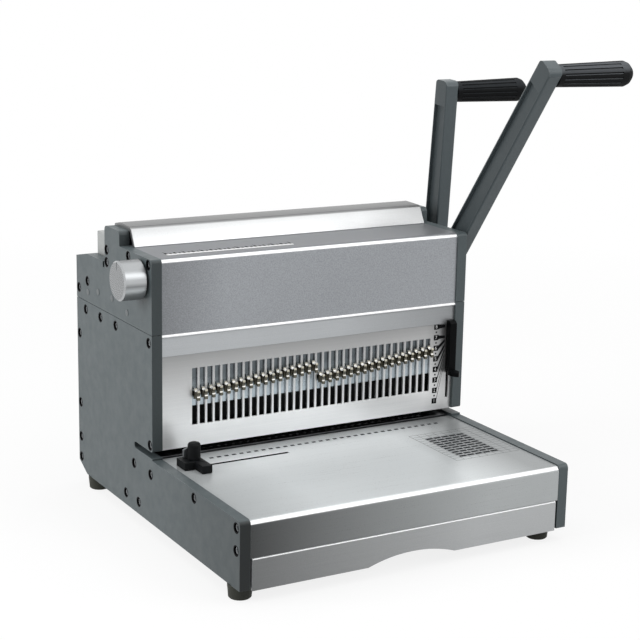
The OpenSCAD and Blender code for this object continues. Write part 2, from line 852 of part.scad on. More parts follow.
// Die under the throat: the chips fall through its holes into the tray
module die_plate() {
    place() color(STEEL) difference() {
        translate([-inner_x, die_y, die_top - die_t]) cube([2 * inner_x, guide_back - die_y, die_t]);
        for (i = [0 : pin_count - 1])
            translate([pin_x(i), row_y, 0]) {
                translate([0, 0, die_top - die_t - 1]) cylinder(h = die_t - 3, d = pin_d + 1.6);
                translate([0, 0, die_top - 5]) cylinder(h = 6, r = pin_d / 2 + run_gap);
            }
    }
}

module paper_stop() {
    stop_y = row_y + pin_d / 2 + 2;
    place() color(DARK) translate([-post_x, stop_y, die_top]) cube([2 * post_x, 6, guide_z - die_top]);
}

module guide_posts() {
    top = press_z + press_h + 5;
    place() color(STEEL) for (s = [-1, 1])
        translate([s * post_x, post_y, guide_z + 8]) cylinder(h = top - guide_z - 8, d = post_d);
}

// One unbroken wire along a helix, closed at both ends
module coil(r, wire_d, turns, height) {
    steps = 12;
    sides = 6;
    n = turns * steps;
    climb = (height - wire_d) / turns;
    lead = atan(climb / (360 * r * PI / 180));
    points = [
        for (i = [0 : n], k = [0 : sides - 1])
            let (a = 360 * i / steps, b = 360 * k / sides, u = wire_d / 2 * cos(b), v = wire_d / 2 * sin(b))
                [(r + u) * cos(a) + v * sin(lead) * sin(a),
                 (r + u) * sin(a) - v * sin(lead) * cos(a),
                 wire_d / 2 + climb * i / steps + v * cos(lead)]
    ];
    walls = [
        for (i = [0 : n - 1], k = [0 : sides - 1])
            let (p = i * sides + k, q = i * sides + (k + 1) % sides)
                each [[p, p + sides, q], [q, p + sides, q + sides]]
    ];
    first = [for (k = [1 : sides - 2]) [0, k, k + 1]];
    last = [for (k = [1 : sides - 2]) [n * sides, n * sides + k + 1, n * sides + k]];
    polyhedron(points, concat(walls, first, last));
}

module return_springs() {
    r = post_d / 2 + spring_wire / 2 + 1;
    room = press_z - guide_top;
    place() color(STEEL) for (s = [-1, 1])
        translate([s * post_x, post_y, guide_top + 0.2]) coil(r, spring_wire, spring_turns, room - 0.5);
}

module bush(x0, x1, y, z, d_in, d_out) {
    difference() {
        bar_x(x0, x1, y, z, d_out);
        bar_x(x0 - 1, x1 + 1, y, z, d_in + 2 * run_gap);
    }
}

module punch_bushes() {
    place() color(BRONZE) {
        bush(-half_w + blind_wall, -inner_x, shaft_y, shaft_z, shaft_d, bush_d);
        bush(inner_x, half_w, shaft_y, shaft_z, shaft_d, bush_d);
    }
}

module closer_bushes() {
    place() color(BRONZE) {
        bush(-half_w + blind_wall, -inner_x, closer_y, closer_z, closer_d, closer_bush_d);
        bush(inner_x, half_w, closer_y, closer_z, closer_d, closer_bush_d);
    }
}

module knob_bush() {
    place() color(BRONZE) bush(-half_w, -inner_x, knob_y, knob_z, knob_spindle_d, knob_bush_d);
}

module bore_plugs() {
    place() color(PALE) for (p = concat([[shaft_y, shaft_z], [closer_y, closer_z]], rods))
        bar_x(-half_w - 0.4, -half_w + blind_wall - 0.4, p[0], p[1], plug_d);
}

// Cap screws sunk into the side plates, with hexagon sockets
module plate_screws() {
    sunk = 0.8;
    place() color(DARK) for (s = [0, 1], p = concat(lower_screws, upper_screws))
        mirror([s, 0, 0]) difference() {
            union() {
                bar_x(-half_w + sunk, -half_w + bore_h, p[0], p[1], screw_head);
                bar_x(-half_w + bore_h, -inner_x, p[0], p[1], screw_d);
            }
            translate([-half_w, p[0], p[1]]) rotate([0, 90, 0]) cylinder(h = bore_h - 0.4, d = 4.2, $fn = 6);
        }
}

module tray_runners() {
    leg = 14;
    wall = 2;
    place() color(STEEL) for (s = [0, 1])
        mirror([s, 0, 0]) translate([0, tray_front_t + 8, 0]) {
            translate([inner_x - leg, 0, tray_floor - wall - slide_gap]) cube([leg, tray_d - 12, wall]);
            translate([inner_x - wall, 0, foot_h + pan_t])
                cube([wall, tray_d - 12, tray_top - foot_h - pan_t - 6]);
        }
}

module feet() {
    place() color(BLACK) for (x = feet_x, y = [foot_front, frame_d - foot_back])
        translate([x, y, 0]) rotate_extrude() polygon([
            [0, 0], [foot_r - 2, 0], [foot_r - 1, 1], [foot_r, foot_h - 2], [foot_r, foot_h], [0, foot_h]
        ]);
}

module punch_shaft() {
    place() color(STEEL) bar_x(-half_w + blind_wall + side_gap, arm1_x + arm_t, shaft_y, shaft_z, shaft_d);
}

// Cranks point to the front and up at rest
module punch_cranks() {
    web_x = lug_x + lug_t / 2 + crank_gap;
    place() color(STEEL) for (s = [0, 1])
        mirror([s, 0, 0]) difference() {
            along_x(web_x, web_x + crank_t) translate([shaft_y, shaft_z]) rotate(180 - half_swing)
                link_outline(crank_r, shaft_d / 2 + crank_wall, crank_pin_d / 2 + crank_pin_wall);
            bar_x(web_x - 1, web_x + crank_t + 1, shaft_y, shaft_z, shaft_d);
            bar_x(web_x - 1, web_x + crank_t + 1, crank_y, crank_z, crank_pin_d);
        }
}

module punch_crank_pins() {
    place() color(STEEL) for (s = [0, 1])
        mirror([s, 0, 0]) bar_x(lug_x - lug_t / 2, lug_x + lug_t / 2 + crank_gap + crank_t,
            crank_y, crank_z, crank_pin_d);
}

// Lever bar in its own upright frame: round hub, bar that narrows to a rounded head and a long pocket
module lever(length) {
    taper = atan((arm_back - arm_head) / length);
    wide = 2 * (arm_front + arm_back);
    top = length + head_h / 2;
    pocket_low = hub_r + pocket_foot;
    pocket_top = length - pocket_head;
    front = pocket_rim - arm_front;
    back_low = arm_back - tan(taper) * pocket_low - pocket_rim;
    back_top = arm_back - tan(taper) * pocket_top - pocket_rim;
    difference() {
        union() {
            translate([hub_in, 0, 0]) rotate([0, 90, 0]) cylinder(h = arm_t - 2 * hub_in, r = hub_r);
            intersection() {
                translate([arm_t / 2, wide / 2 - arm_front, 0])
                    linear_extrude(top + 1) rounded_rect(arm_t, wide, arm_edge);
                rotate([taper, 0, 0]) translate([arm_t / 2, arm_back - wide / 2, -hub_r])
                    linear_extrude(top + 2 * hub_r) rounded_rect(arm_t, wide, arm_edge);
                along_x(-1, arm_t + 1) translate([wide / 2 - arm_front - head_step, (top - hub_r) / 2])
                    rounded_rect(wide, top + hub_r, head_r);
                rotate([taper, 0, 0]) along_x(-1, arm_t + 1)
                    translate([arm_back + head_step - wide / 2, (top - hub_r + head_step) / 2])
                        rounded_rect(wide, top + hub_r + head_step, head_r);
            }
        }
        along_x(-1, pocket_h) polygon([
            [front, pocket_low], [front, pocket_top], [back_top, pocket_top], [back_low, pocket_low]
        ]);
    }
}

// Grip in the lever's frame: a flared handle with grooves along it
module grip(length) {
    r1 = grip_d / 2;
    r2 = grip_end_d / 2;
    flare = atan((r2 - r1) / (grip_l - r2));
    groove = 1.1;
    translate([arm_t, grip_back, length]) rotate([0, 90, 0]) difference() {
        rotate_extrude() polygon([
            [0, 0], [r1, 0], [r2, grip_l - r2 + 5], [r2 - 1.5, grip_l - 4], [r2 - 5, grip_l], [0, grip_l]
        ]);
        for (i = [0 : grip_grooves - 1])
            rotate([0, 0, 360 * i / grip_grooves]) translate([r1 + 0.3, 0, 6]) rotate([0, flare, 0])
                cylinder(h = grip_l - 22, r = groove, $fn = 16);
    }
}

module on_punch_lever() {
    translate([arm1_x, shaft_y, shaft_z]) rotate([punch_lean, 0, 0]) children();
}

module on_closer_lever() {
    translate([arm2_x, closer_y, closer_z]) rotate([closer_lean, 0, 0]) children();
}

module punch_arm() {
    place() color(PAINT) difference() {
        on_punch_lever() lever(punch_arm_l);
        bar_x(arm1_x - 1, arm1_x + arm_t + 1, shaft_y, shaft_z, shaft_d);
    }
}

module punch_grip() {
    place() color(BLACK) on_punch_lever() grip(punch_arm_l);
}

module cap_screw(x, y, z) {
    difference() {
        bar_x(x, x + 4, y, z, 13);
        translate([x + 1.5, y, z]) rotate([0, 90, 0]) cylinder(h = 4, d = 6.9, $fn = 6);
    }
}

module punch_arm_screw() {
    place() color(STEEL) cap_screw(arm1_x + arm_t, shaft_y, shaft_z);
}

module press_bar() {
    place() color(STEEL) difference() {
        translate([-press_half, press_y, press_z]) cube([2 * press_half, guide_back - press_y, press_h]);
        for (i = [0 : pin_count - 1])
            translate([pin_x(i), row_y, press_z - 1]) cylinder(h = pin_top - press_z + 1, d = pin_d);
        for (s = [-1, 1])
            translate([s * post_x, post_y, press_z - 1]) cylinder(h = press_h + 2, r = post_d / 2 + run_gap);
    }
}

// Forked lugs on the press bar, open to the back, in which the crank pins run
module press_lugs() {
    low = press_z + press_h;
    fork_h = crank_pin_d + 2 * yoke_play;
    top = crank_z + fork_h / 2 + 7;
    fork_y = shaft_y - crank_r - crank_pin_d / 2 - 0.8;
    place() color(STEEL) for (s = [0, 1])
        mirror([s, 0, 0]) along_x(lug_x - lug_t / 2, lug_x + lug_t / 2) difference() {
            translate([lug_front, low]) square([lug_back - lug_front, top - low]);
            translate([fork_y, crank_z - fork_h / 2]) square([lug_back - fork_y + 1, fork_h]);
            corner_cut([lug_front, top], 4, 1, -1);
        }
}

// Pins: a round punch, and a flat bar in front of the guide block that a web joins to it
module punch_pins() {
    web_w = pin_d / 2;
    bar_z = guide_top + side_gap;
    web_z = guide_top + stroke + 2;
    place() color(STEEL) for (i = [0 : pin_count - 1])
        translate([pin_x(i), 0, 0]) {
            translate([0, row_y, pin_end + pin_lift(i)])
                cylinder(h = pin_top - pin_end - pin_lift(i), d = pin_d);
            translate([-pin_bar_w / 2, pin_bar_y, bar_z]) cube([pin_bar_w, pin_bar_t, press_z - bar_z]);
            translate([-web_w / 2, pin_bar_y, web_z]) cube([web_w, row_y - pin_bar_y, press_z - web_z]);
        }
}

// Flat pull tabs: a stem seated on the pin's bar, and a waisted finger piece in front of the panel
module pin_tabs() {
    front = panel_y - tab_l;
    hollow_r = (pow(tab_l / 2 - 1.2, 2) + tab_waist * tab_waist) / (2 * tab_waist);
    place() color(NICKEL) for (i = [0 : pin_count - 1])
        translate([0, 0, tab_z + pin_lift(i)]) along_x(pin_x(i) - tab_t / 2, pin_x(i) + tab_t / 2)
            difference() {
                union() {
                    translate([front, 0]) square([tab_l, tab_h]);
                    translate([panel_y - 1, stem_up]) square([pin_bar_y - panel_y + 1, tab_stem]);
                }
                translate([front + tab_l / 2, -hollow_r + tab_waist]) circle(hollow_r);
                translate([front + tab_l / 2, tab_h + hollow_r - tab_waist]) circle(hollow_r);
            }
}

module closer_shaft() {
    place() color(STEEL) bar_x(-half_w + blind_wall + side_gap, arm2_x + arm_t, closer_y, closer_z, closer_d);
}

module closer_cranks() {
    web_x = carriage_x - carriage_t / 2 - crank_gap - crank_t;
    place() color(STEEL) for (s = [0, 1])
        mirror([s, 0, 0]) difference() {
            along_x(web_x, web_x + crank_t) translate([closer_y, closer_z]) rotate(90 - close_half)
                link_outline(closer_crank_r, closer_d / 2 + crank_wall - 1,
                    closer_pin_d / 2 + crank_pin_wall - 1);
            bar_x(web_x - 1, web_x + crank_t + 1, closer_y, closer_z, closer_d);
            bar_x(web_x - 1, web_x + crank_t + 1, close_pin_y, close_pin_z, closer_pin_d);
        }
}

module closer_crank_pins() {
    place() color(STEEL) for (s = [0, 1])
        mirror([s, 0, 0]) bar_x(carriage_x - carriage_t / 2 - crank_gap - crank_t,
            carriage_x + carriage_t / 2, close_pin_y, close_pin_z, closer_pin_d);
}

module closer_spacer() {
    place() color(STEEL) difference() {
        bar_x(half_w + slide_gap, arm2_x, closer_y, closer_z, closer_bush_d);
        bar_x(half_w, arm2_x + 1, closer_y, closer_z, closer_d);
    }
}

module closer_arm() {
    place() color(PAINT) difference() {
        on_closer_lever() lever(closer_arm_l);
        bar_x(arm2_x - 1, arm2_x + arm_t + 1, closer_y, closer_z, closer_d);
    }
}

module closer_grip() {
    place() color(BLACK) on_closer_lever() grip(closer_arm_l);
}

module closer_arm_screw() {
    place() color(STEEL) cap_screw(arm2_x + arm_t, closer_y, closer_z);
}

// Moving jaw: a pale bar with a hollow along its front face
module closing_bar() {
    low = bed_z + slide_gap;
    place() color(PALE) along_x(side_gap + 1 - inner_x, inner_x - side_gap - 1) difference() {
        polygon([
            [bar_y, low], [bar_y, bar_top - 2], [bar_y + 2, bar_top],
            [bar_y + bar_d - 1, bar_top], [bar_y + bar_d, bar_top - 1], [bar_y + bar_d, low]
        ]);
        translate([bar_y - 4, low + 9]) circle(6.5);
    }
}

// Carriage under the bed: a neck up to the moving jaw and a fork, open below, for the crank pin
module carriage_profile(nose) {
    slot_w2 = closer_pin_d / 2 + 0.5;
    eye_front = close_pin_y - slot_w2 - 5;
    eye_back = close_pin_y + slot_w2 + 5;
    eye_low = closer_z + closer_d / 2 + 0.6;
    pin_high = closer_z + closer_crank_r;
    body_low = carriage_top - carriage_h;
    difference() {
        union() {
            translate([eye_front, eye_low]) square([eye_back - eye_front, carriage_top - eye_low]);
            translate([eye_front, body_low]) square([neck_y + neck_d - eye_front, carriage_top - body_low]);
            translate([neck_y, body_low]) square([neck_d, bed_z + slide_gap - body_low]);
            if (nose) {
                translate([nose_y, body_low]) square([eye_front - nose_y + 1, carriage_top - body_low]);
                translate([nose_y, body_low]) square([12, knob_z + 6 - body_low]);
            }
        }
        translate([close_pin_y - slot_w2, eye_low - 1])
            square([2 * slot_w2, pin_high + slot_w2 + 0.4 - eye_low + 1]);
    }
}

module left_carriage() {
    place() color(STEEL) along_x(-carriage_x - carriage_t / 2, -carriage_x + carriage_t / 2)
        carriage_profile(true);
}

module right_carriage() {
    place() color(STEEL) along_x(carriage_x - carriage_t / 2, carriage_x + carriage_t / 2)
        carriage_profile(false);
}

module size_knob() {
    face = half_w + knob_gap + knob_l;
    r = knob_d / 2;
    mark = 1.2;
    place() color(SILVER) translate([-face, knob_y, knob_z]) rotate([0, 90, 0]) difference() {
        rotate_extrude() polygon([
            [0, 0], [r - knob_bevel, 0], [r, knob_bevel], [r, knob_l - 0.8], [r - 0.8, knob_l], [0, knob_l]
        ]);
        translate([0, 0, knob_l - 14]) cylinder(h = 15, d = knob_spindle_d);
        translate([-r - 1, -mark / 2, -1]) cube([r / 2, mark, 1 + mark / 2]);
    }
}

module knob_spindle() {
    place() color(STEEL)
        bar_x(-half_w - knob_gap - 14, -carriage_x + carriage_t / 2 + 4, knob_y, knob_z, knob_spindle_d);
}

// Snail cam: its radius falls as the knob turns, and the left carriage's nose stops against it
module stop_cam() {
    turn = 300;
    outline = [for (a = [0 : 10 : turn]) (cam_r - cam_lift * a / turn) * [cos(-a), sin(-a)]];
    place() color(STEEL) difference() {
        along_x(-carriage_x - carriage_t / 2, -carriage_x + carriage_t / 2)
            translate([knob_y, knob_z]) polygon(outline);
        bar_x(-half_w, 0, knob_y, knob_z, knob_spindle_d);
    }
}

// Tall black finger piece with a leaf-shaped lip at its foot, and a stem through the panel's slot
module slider_cap() {
    bevel = 4;
    leaf_r = (lip_l * lip_l / 4 + lip_w * lip_w / 4) / lip_w;
    place() color(BLACK) {
        translate([slider_x, slider_y, slider_z]) {
            difference() {
                translate([-slider_w / 2, -slider_l, 0]) cube([slider_w, slider_l, slider_h]);
                translate([0, -slider_l, slider_h]) rotate([45, 0, 0])
                    cube([slider_w + 2, bevel, bevel], center = true);
            }
            translate([0, -lip_l / 2, -lip_drop]) linear_extrude(lip_h) intersection() {
                translate([leaf_r - lip_w / 2, 0]) circle(leaf_r);
                translate([lip_w / 2 - leaf_r, 0]) circle(leaf_r);
            }
        }
        translate([slider_x - slider_slot_w / 2 + side_gap, slider_y - 1, stem_z])
            cube([slider_slot_w - 2 * side_gap, panel_y + panel_t + slide_gap - slider_y + 1, slider_stem]);
    }
}

module slider_nut() {
    rim = 0.5;
    place() color(STEEL)
        translate([slider_x - slider_w / 2 - rim, panel_y + panel_t + slide_gap, stem_z + rim])
            cube([slider_w + 2 * rim, 4 * rim, slider_stem - 2 * rim]);
}

// Black block that runs along the table slot on a tongue, with a toe to the front at its right end
module guide_block() {
    place() color(BLACK) translate([clamp_x, guide_slot_y, 0]) difference() {
        union() {
            translate([0, 0, table_z + slide_gap]) linear_extrude(block_h) {
                translate([-block_left, -block_front]) square([block_w, block_front + block_back]);
                translate([block_w - block_left - toe_w, -toe_l]) square([toe_w, toe_l]);
            }
            translate([-tongue_l / 2, slide_gap - guide_slot_w / 2, table_z - table_t])
                cube([tongue_l, guide_slot_w - 2 * slide_gap, table_t + slide_gap]);
        }
        translate([0, 0, table_z - table_t - 1])
            cylinder(h = table_t + block_h + 3, r = clamp_screw_d / 2 + run_gap);
    }
}

// Grey plate on the block that the paper's edge meets, sloped at its right end
module guide_fence() {
    half = fence_l / 2;
    place() color(SILVER)
        translate([clamp_x, guide_slot_y + clamp_d / 2 + side_gap, table_z + slide_gap + block_h])
        rotate([90, 0, 0]) mirror([0, 0, 1]) linear_extrude(fence_t) polygon([
            [-half, 0], [-half, fence_h - 2], [-half / 2, fence_h], [2, fence_h - 3], [half, 2], [half, 0]
        ]);
}

module guide_nut() {
    nut_h = 4;
    nut_w = clamp_screw_d + 13;
    low = table_z - table_t - slide_gap - nut_h;
    place() color(STEEL) translate([clamp_x, guide_slot_y, low]) difference() {
        translate([-nut_w / 2, -nut_w / 2, 0]) cube([nut_w, nut_w, nut_h]);
        translate([0, 0, -1]) cylinder(h = nut_h + 2, r = clamp_screw_d / 2 + run_gap);
    }
}

// Clamp post with a domed top, on a screw that runs down through block and nut
module clamp_post() {
    low = table_z + slide_gap + block_h + slide_gap;
    foot = table_z - table_t - slide_gap - 5;
    dome = 3;
    place() color(BLACK) translate([clamp_x, guide_slot_y, 0]) {
        translate([0, 0, low]) rotate_extrude() difference() {
            square([clamp_d / 2, clamp_h]);
            corner_cut([clamp_d / 2, clamp_h], dome, -1, -1);
        }
        translate([0, 0, foot]) cylinder(h = low - foot + 1, d = clamp_screw_d);
    }
}

module chip_tray() {
    place() color(SILVER) difference() {
        translate([-tray_half, tray_y, tray_floor]) cube([2 * tray_half, tray_d, tray_top - tray_floor]);
        translate([tray_t - tray_half, tray_y + tray_t, tray_floor + tray_t])
            cube([2 * (tray_half - tray_t), tray_d - 2 * tray_t, tray_top - tray_floor]);
    }
}

module tray_front() {
    top = tray_split_z - slide_gap;
    arch_r = (arch_w * arch_w / 4 + arch_h * arch_h) / (2 * arch_h);
    place() color(SILVER) difference() {
        along_x(tray_end - inner_x, inner_x - tray_end) polygon([
            [0, tray_front_z], [0, top - 1.2], [1.2, top], [tray_front_t, top], [tray_front_t, tray_front_z]
        ]);
        translate([row_x / 2, -1, tray_front_z + arch_h - arch_r]) rotate([-90, 0, 0])
            cylinder(h = tray_front_t + 2, r = arch_r);
    }
}

left_lower_plate();
right_lower_plate();
left_upper_plate();
right_upper_plate();
table_top();
front_panel();
header_strip();
upper_cover();
top_bar();
fixed_jaw();
closer_bed();
back_panel();
base_pan();
chassis_deck();
tie_rods();
punch_guide();
die_plate();
paper_stop();
guide_posts();
return_springs();
punch_bushes();
closer_bushes();
knob_bush();
bore_plugs();
plate_screws();
tray_runners();
feet();
punch_shaft();
punch_cranks();
punch_crank_pins();
punch_arm();
punch_grip();
punch_arm_screw();
press_bar();
press_lugs();
punch_pins();
pin_tabs();
closer_shaft();
closer_cranks();
closer_crank_pins();
closer_spacer();
closer_arm();
closer_grip();
closer_arm_screw();
closing_bar();
left_carriage();
right_carriage();
size_knob();
knob_spindle();
stop_cam();
slider_cap();
slider_nut();
guide_block();
guide_fence();
guide_nut();
clamp_post();
chip_tray();
tray_front();
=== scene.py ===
import math

import bmesh
import bpy
from mathutils import Matrix, Vector


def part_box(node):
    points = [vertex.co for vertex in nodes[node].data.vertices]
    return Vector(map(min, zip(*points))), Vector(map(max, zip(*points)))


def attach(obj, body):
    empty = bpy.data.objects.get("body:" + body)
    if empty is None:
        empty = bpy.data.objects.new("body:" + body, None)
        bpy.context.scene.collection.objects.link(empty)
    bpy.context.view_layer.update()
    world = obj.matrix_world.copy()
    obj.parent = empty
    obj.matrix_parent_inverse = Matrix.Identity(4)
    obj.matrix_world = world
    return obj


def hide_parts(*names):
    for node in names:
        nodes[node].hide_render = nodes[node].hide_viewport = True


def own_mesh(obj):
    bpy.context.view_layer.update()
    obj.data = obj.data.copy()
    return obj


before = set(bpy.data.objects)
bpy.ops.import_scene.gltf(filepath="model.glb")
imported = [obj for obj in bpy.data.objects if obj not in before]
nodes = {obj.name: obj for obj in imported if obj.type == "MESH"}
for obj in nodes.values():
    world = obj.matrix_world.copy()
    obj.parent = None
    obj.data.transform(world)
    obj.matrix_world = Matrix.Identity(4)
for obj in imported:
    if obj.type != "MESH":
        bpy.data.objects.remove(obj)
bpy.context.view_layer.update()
scene = bpy.context.scene
mm = 0.001
tableLow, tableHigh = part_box("table_top")
panelLow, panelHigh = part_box("front_panel")
coverLow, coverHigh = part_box("upper_cover")
middleX = (tableLow.x + tableHigh.x) / 2
print("frame loaded with", len(nodes), "nodes")

# where the photograph was taken from, fitted to its straight edges
cameraSettings = {
    "eye": (-0.8654, -1.4275, 0.5991),
    "ahead": (0.4842, 0.8436, -0.2322),
    "right": (0.8693, -0.4939, 0.0187),
    "lens": 91.6,
    "sensor": 36,
    "farthest": 120,
}


def makeCamera(view):
    ahead = Vector(view["ahead"]).normalized()
    right = Vector(view["right"])
    right = (right - ahead * right.dot(ahead)).normalized()
    turn = Matrix((right, right.cross(ahead), -ahead)).transposed()
    data = bpy.data.cameras.new("photoCamera")
    data.lens = view["lens"]
    data.sensor_fit = "HORIZONTAL"
    data.sensor_width = view["sensor"]
    data.clip_end = view["farthest"]
    camera = bpy.data.objects.new("photoCamera", data)
    camera.matrix_world = Matrix.Translation(Vector(view["eye"])) @ turn.to_4x4()
    scene.collection.objects.link(camera)
    scene.camera = camera


makeCamera(cameraSettings)
scene.view_settings.view_transform = "Standard"
print("camera set")

# node helpers


# adds a node; an input that is a socket is linked, and any other value is set
def addNode(tree, kind, inputs=None, **values):
    node = tree.nodes.new(kind)
    for key, value in values.items():
        setattr(node, key, value)
    for key, value in (inputs or {}).items():
        if isinstance(value, bpy.types.NodeSocket):
            tree.links.new(value, node.inputs[key])
        else:
            node.inputs[key].default_value = value
    return node


def emptyTree(owner):
    owner.use_nodes = True
    owner.node_tree.nodes.clear()
    return owner.node_tree


coatRough = 0.25


def newMaterial(name, metallic=0.0, coat=0.0, specular=0.5):
    material = bpy.data.materials.new(name)
    tree = emptyTree(material)
    shader = addNode(tree, "ShaderNodeBsdfPrincipled", {
        "Metallic": metallic, "Specular IOR Level": specular, "Coat Weight": coat,
        "Coat Roughness": coatRough})
    addNode(tree, "ShaderNodeOutputMaterial", {"Surface": shader.outputs[0]})
    return material, tree, shader


def coloured(tree, shader, color, rough):
    tree.links.new(color, shader.inputs["Base Color"])
    tree.links.new(rough, shader.inputs["Roughness"])


def placed(tree, stretch=(1, 1, 1), centre=(0, 0, 0)):
    coord = addNode(tree, "ShaderNodeTexCoord")
    shift = [-c * s for c, s in zip(centre, stretch)]
    mapping = addNode(tree, "ShaderNodeMapping", {
        "Vector": coord.outputs["Object"], "Location": shift, "Scale": stretch})
    return mapping.outputs["Vector"]


def grain(tree, scale, detail, stretch=(1, 1, 1)):
    noise = addNode(tree, "ShaderNodeTexNoise", {
        "Vector": placed(tree, stretch), "Scale": scale, "Detail": detail})
    return noise.outputs["Fac"]


# a value that goes from low to high as its source goes from start to end
def spread(tree, source, low, high, start=0.3, end=0.7):
    node = addNode(tree, "ShaderNodeMapRange", {
        "Value": source, "From Min": start, "From Max": end, "To Min": low, "To Max": high})
    return node.outputs["Result"]


# roughness that swings about its middle
def roughened(tree, source, middle, swing, *span):
    return spread(tree, source, middle + swing[0], middle + swing[1], *span)


def joined(tree, first, second, way="ADD"):
    return addNode(tree, "ShaderNodeMath", {0: first, 1: second}, operation=way).outputs[0]


# places of the colour sockets on a mix node
mixFactor, mixFirst, mixSecond, mixResult = 0, 6, 7, 2


def opaque(color):
    return color if isinstance(color, bpy.types.NodeSocket) else (*color, 1)


# from the first colour to the second, as far as the factor says
def tint(tree, factor, first, second, blend="MIX"):
    inputs = {mixFactor: factor, mixFirst: opaque(first), mixSecond: opaque(second)}
    return addNode(tree, "ShaderNodeMix", inputs, data_type="RGBA", blend_type=blend).outputs[mixResult]


# colour times a tone, a grey or a colour, as far as the factor says
def toned(tree, factor, color, times):
    tone = times if isinstance(times, tuple) else (times, times, times)
    return tint(tree, factor, color, tone, "MULTIPLY")


def shade(color, times):
    return tuple(min(1.0, c * times) for c in color)


def shades(color, pair):
    return [shade(color, times) for times in pair]


# bump, with its depth in mm
def raised(tree, shader, height, strength, depth):
    node = addNode(tree, "ShaderNodeBump", {"Height": height, "Strength": strength, "Distance": depth * mm})
    tree.links.new(node.outputs[0], shader.inputs["Normal"])


def dotProduct(tree, first, second):
    node = addNode(tree, "ShaderNodeVectorMath", {0: first, 1: second}, operation="DOT_PRODUCT")
    return node.outputs["Value"]


# 1 on edges, within a radius in mm, and 0 on flat faces
def edgeMask(tree, radius, reach=0.25, samples=4):
    rounded = addNode(tree, "ShaderNodeBevel", {"Radius": radius * mm}, samples=samples)
    flat = addNode(tree, "ShaderNodeNewGeometry")
    return spread(tree, dotProduct(tree, rounded.outputs[0], flat.outputs["Normal"]), 1, 0, 1 - reach, 1)


# how far a face looks along a direction, 0 to 1
def facing(tree, way, start=0.4, end=0.85):
    coord = addNode(tree, "ShaderNodeTexCoord")
    return spread(tree, dotProduct(tree, coord.outputs["Normal"], way), 0, 1, start, end)


# how far a point lies from start to end of an axis, 0 to 1
def along(tree, axis, start, end):
    coord = addNode(tree, "ShaderNodeTexCoord")
    parts = addNode(tree, "ShaderNodeSeparateXYZ", {0: coord.outputs["Object"]})
    return spread(tree, parts.outputs[axis], 0, 1, start, end)


axisX, axisY, axisZ = 0, 1, 2
leftWay, frontWay, upWay = (-1, 0, 0), (0, -1, 0), (0, 0, 1)
cornerWay, brinkWay = (0, -0.707, 0.707), (0, -0.866, 0.5)


# painted light and shade: the colour made darker or lighter on faces that look one way, and the same
# reached along an axis
def shaped(tree, color, settings):
    for way, times in settings.get("paintedFaceTones", []):
        color = toned(tree, facing(tree, way), color, times)
    for way, axis, start, end, times in settings.get("runs", []):
        where = joined(tree, facing(tree, way), along(tree, axis, start, end), "MULTIPLY")
        color = toned(tree, where, color, times)
    return color


# powder paint: a soft cloud, pale specks, and edges rubbed bare; a grain is a scale and a detail
paintLook = {
    "coat": 0.03, "specular": 0.28, "cloud": (14, 4), "shades": (0.95, 1.05),
    "speck": (1300, 2), "speckSpan": (0.35, 0.7), "speckShare": 0.22, "speckShade": 1.5,
    "rim": 1.1, "scuff": (160, 5), "scuffLeast": 0.1, "bare": (0.42, 0.45, 0.46),
    "haze": (90, 4), "swing": (-0.06, 0.07), "bump": 0.16, "depth": 0.25,
}
slate = (0.076, 0.093, 0.098)
# painted shade: the plates' left faces darken towards the front
plateShadeRun = (leftWay, axisY, -0.02, tableLow.y, 0.66)
paintSettings = {
    # painted light and shade: the slate's front faces lighter, and darker towards the left
    "slatePaint": {
        "color": slate, "rough": 0.42, "wear": 0.20, "paintedFaceTones": [(frontWay, 1.2)],
        "runs": [(frontWay, axisX, tableHigh.x - 0.02, tableLow.x, 0.55), plateShadeRun]},
    # a shaded copy of the slate for the left lower plate: painted shade darkens its front faces, more so to
    # the front
    "slateLeft": {
        "color": slate, "rough": 0.42, "wear": 0.20, "paintedFaceTones": [(frontWay, 0.66)],
        "runs": [(frontWay, axisY, tableLow.y + 0.06, tableLow.y + 0.02, 0.28), plateShadeRun]},
    # painted shade: the levers' inner (left) faces darker
    "leverPaint": {"color": (0.088, 0.108, 0.116), "rough": 0.36, "wear": 0.22, "paintedFaceTones": [(leftWay, 0.56)]},
    "chassisPaint": {"color": (0.085, 0.100, 0.105), "rough": 0.5, "wear": 0.12},
    "oxideBlack": {"color": (0.003, 0.003, 0.0035), "rough": 0.5, "wear": 0.02, "specular": 0.04},
}


def makePaint(name, paint):
    look = paintLook
    specular = paint.get("specular", look["specular"])
    material, tree, shader = newMaterial(name, coat=look["coat"], specular=specular)
    cloud = spread(tree, grain(tree, *look["cloud"]), 0, 1)
    color = tint(tree, cloud, *shades(paint["color"], look["shades"]))
    speck = grain(tree, *look["speck"])
    specks = joined(tree, spread(tree, speck, 0, 1, *look["speckSpan"]), look["speckShare"], "MULTIPLY")
    color = tint(tree, specks, color, shade(paint["color"], look["speckShade"]))
    color = shaped(tree, color, paint)
    scuff = spread(tree, grain(tree, *look["scuff"]), look["scuffLeast"], 1)
    worn = joined(tree, edgeMask(tree, look["rim"]), scuff, "MULTIPLY")
    rubbed = joined(tree, worn, paint["wear"], "MULTIPLY")
    color = tint(tree, rubbed, color, look["bare"])
    haze = grain(tree, *look["haze"])
    coloured(tree, shader, color, roughened(tree, haze, paint["rough"], look["swing"]))
    raised(tree, shader, speck, look["bump"], look["depth"])
    return material


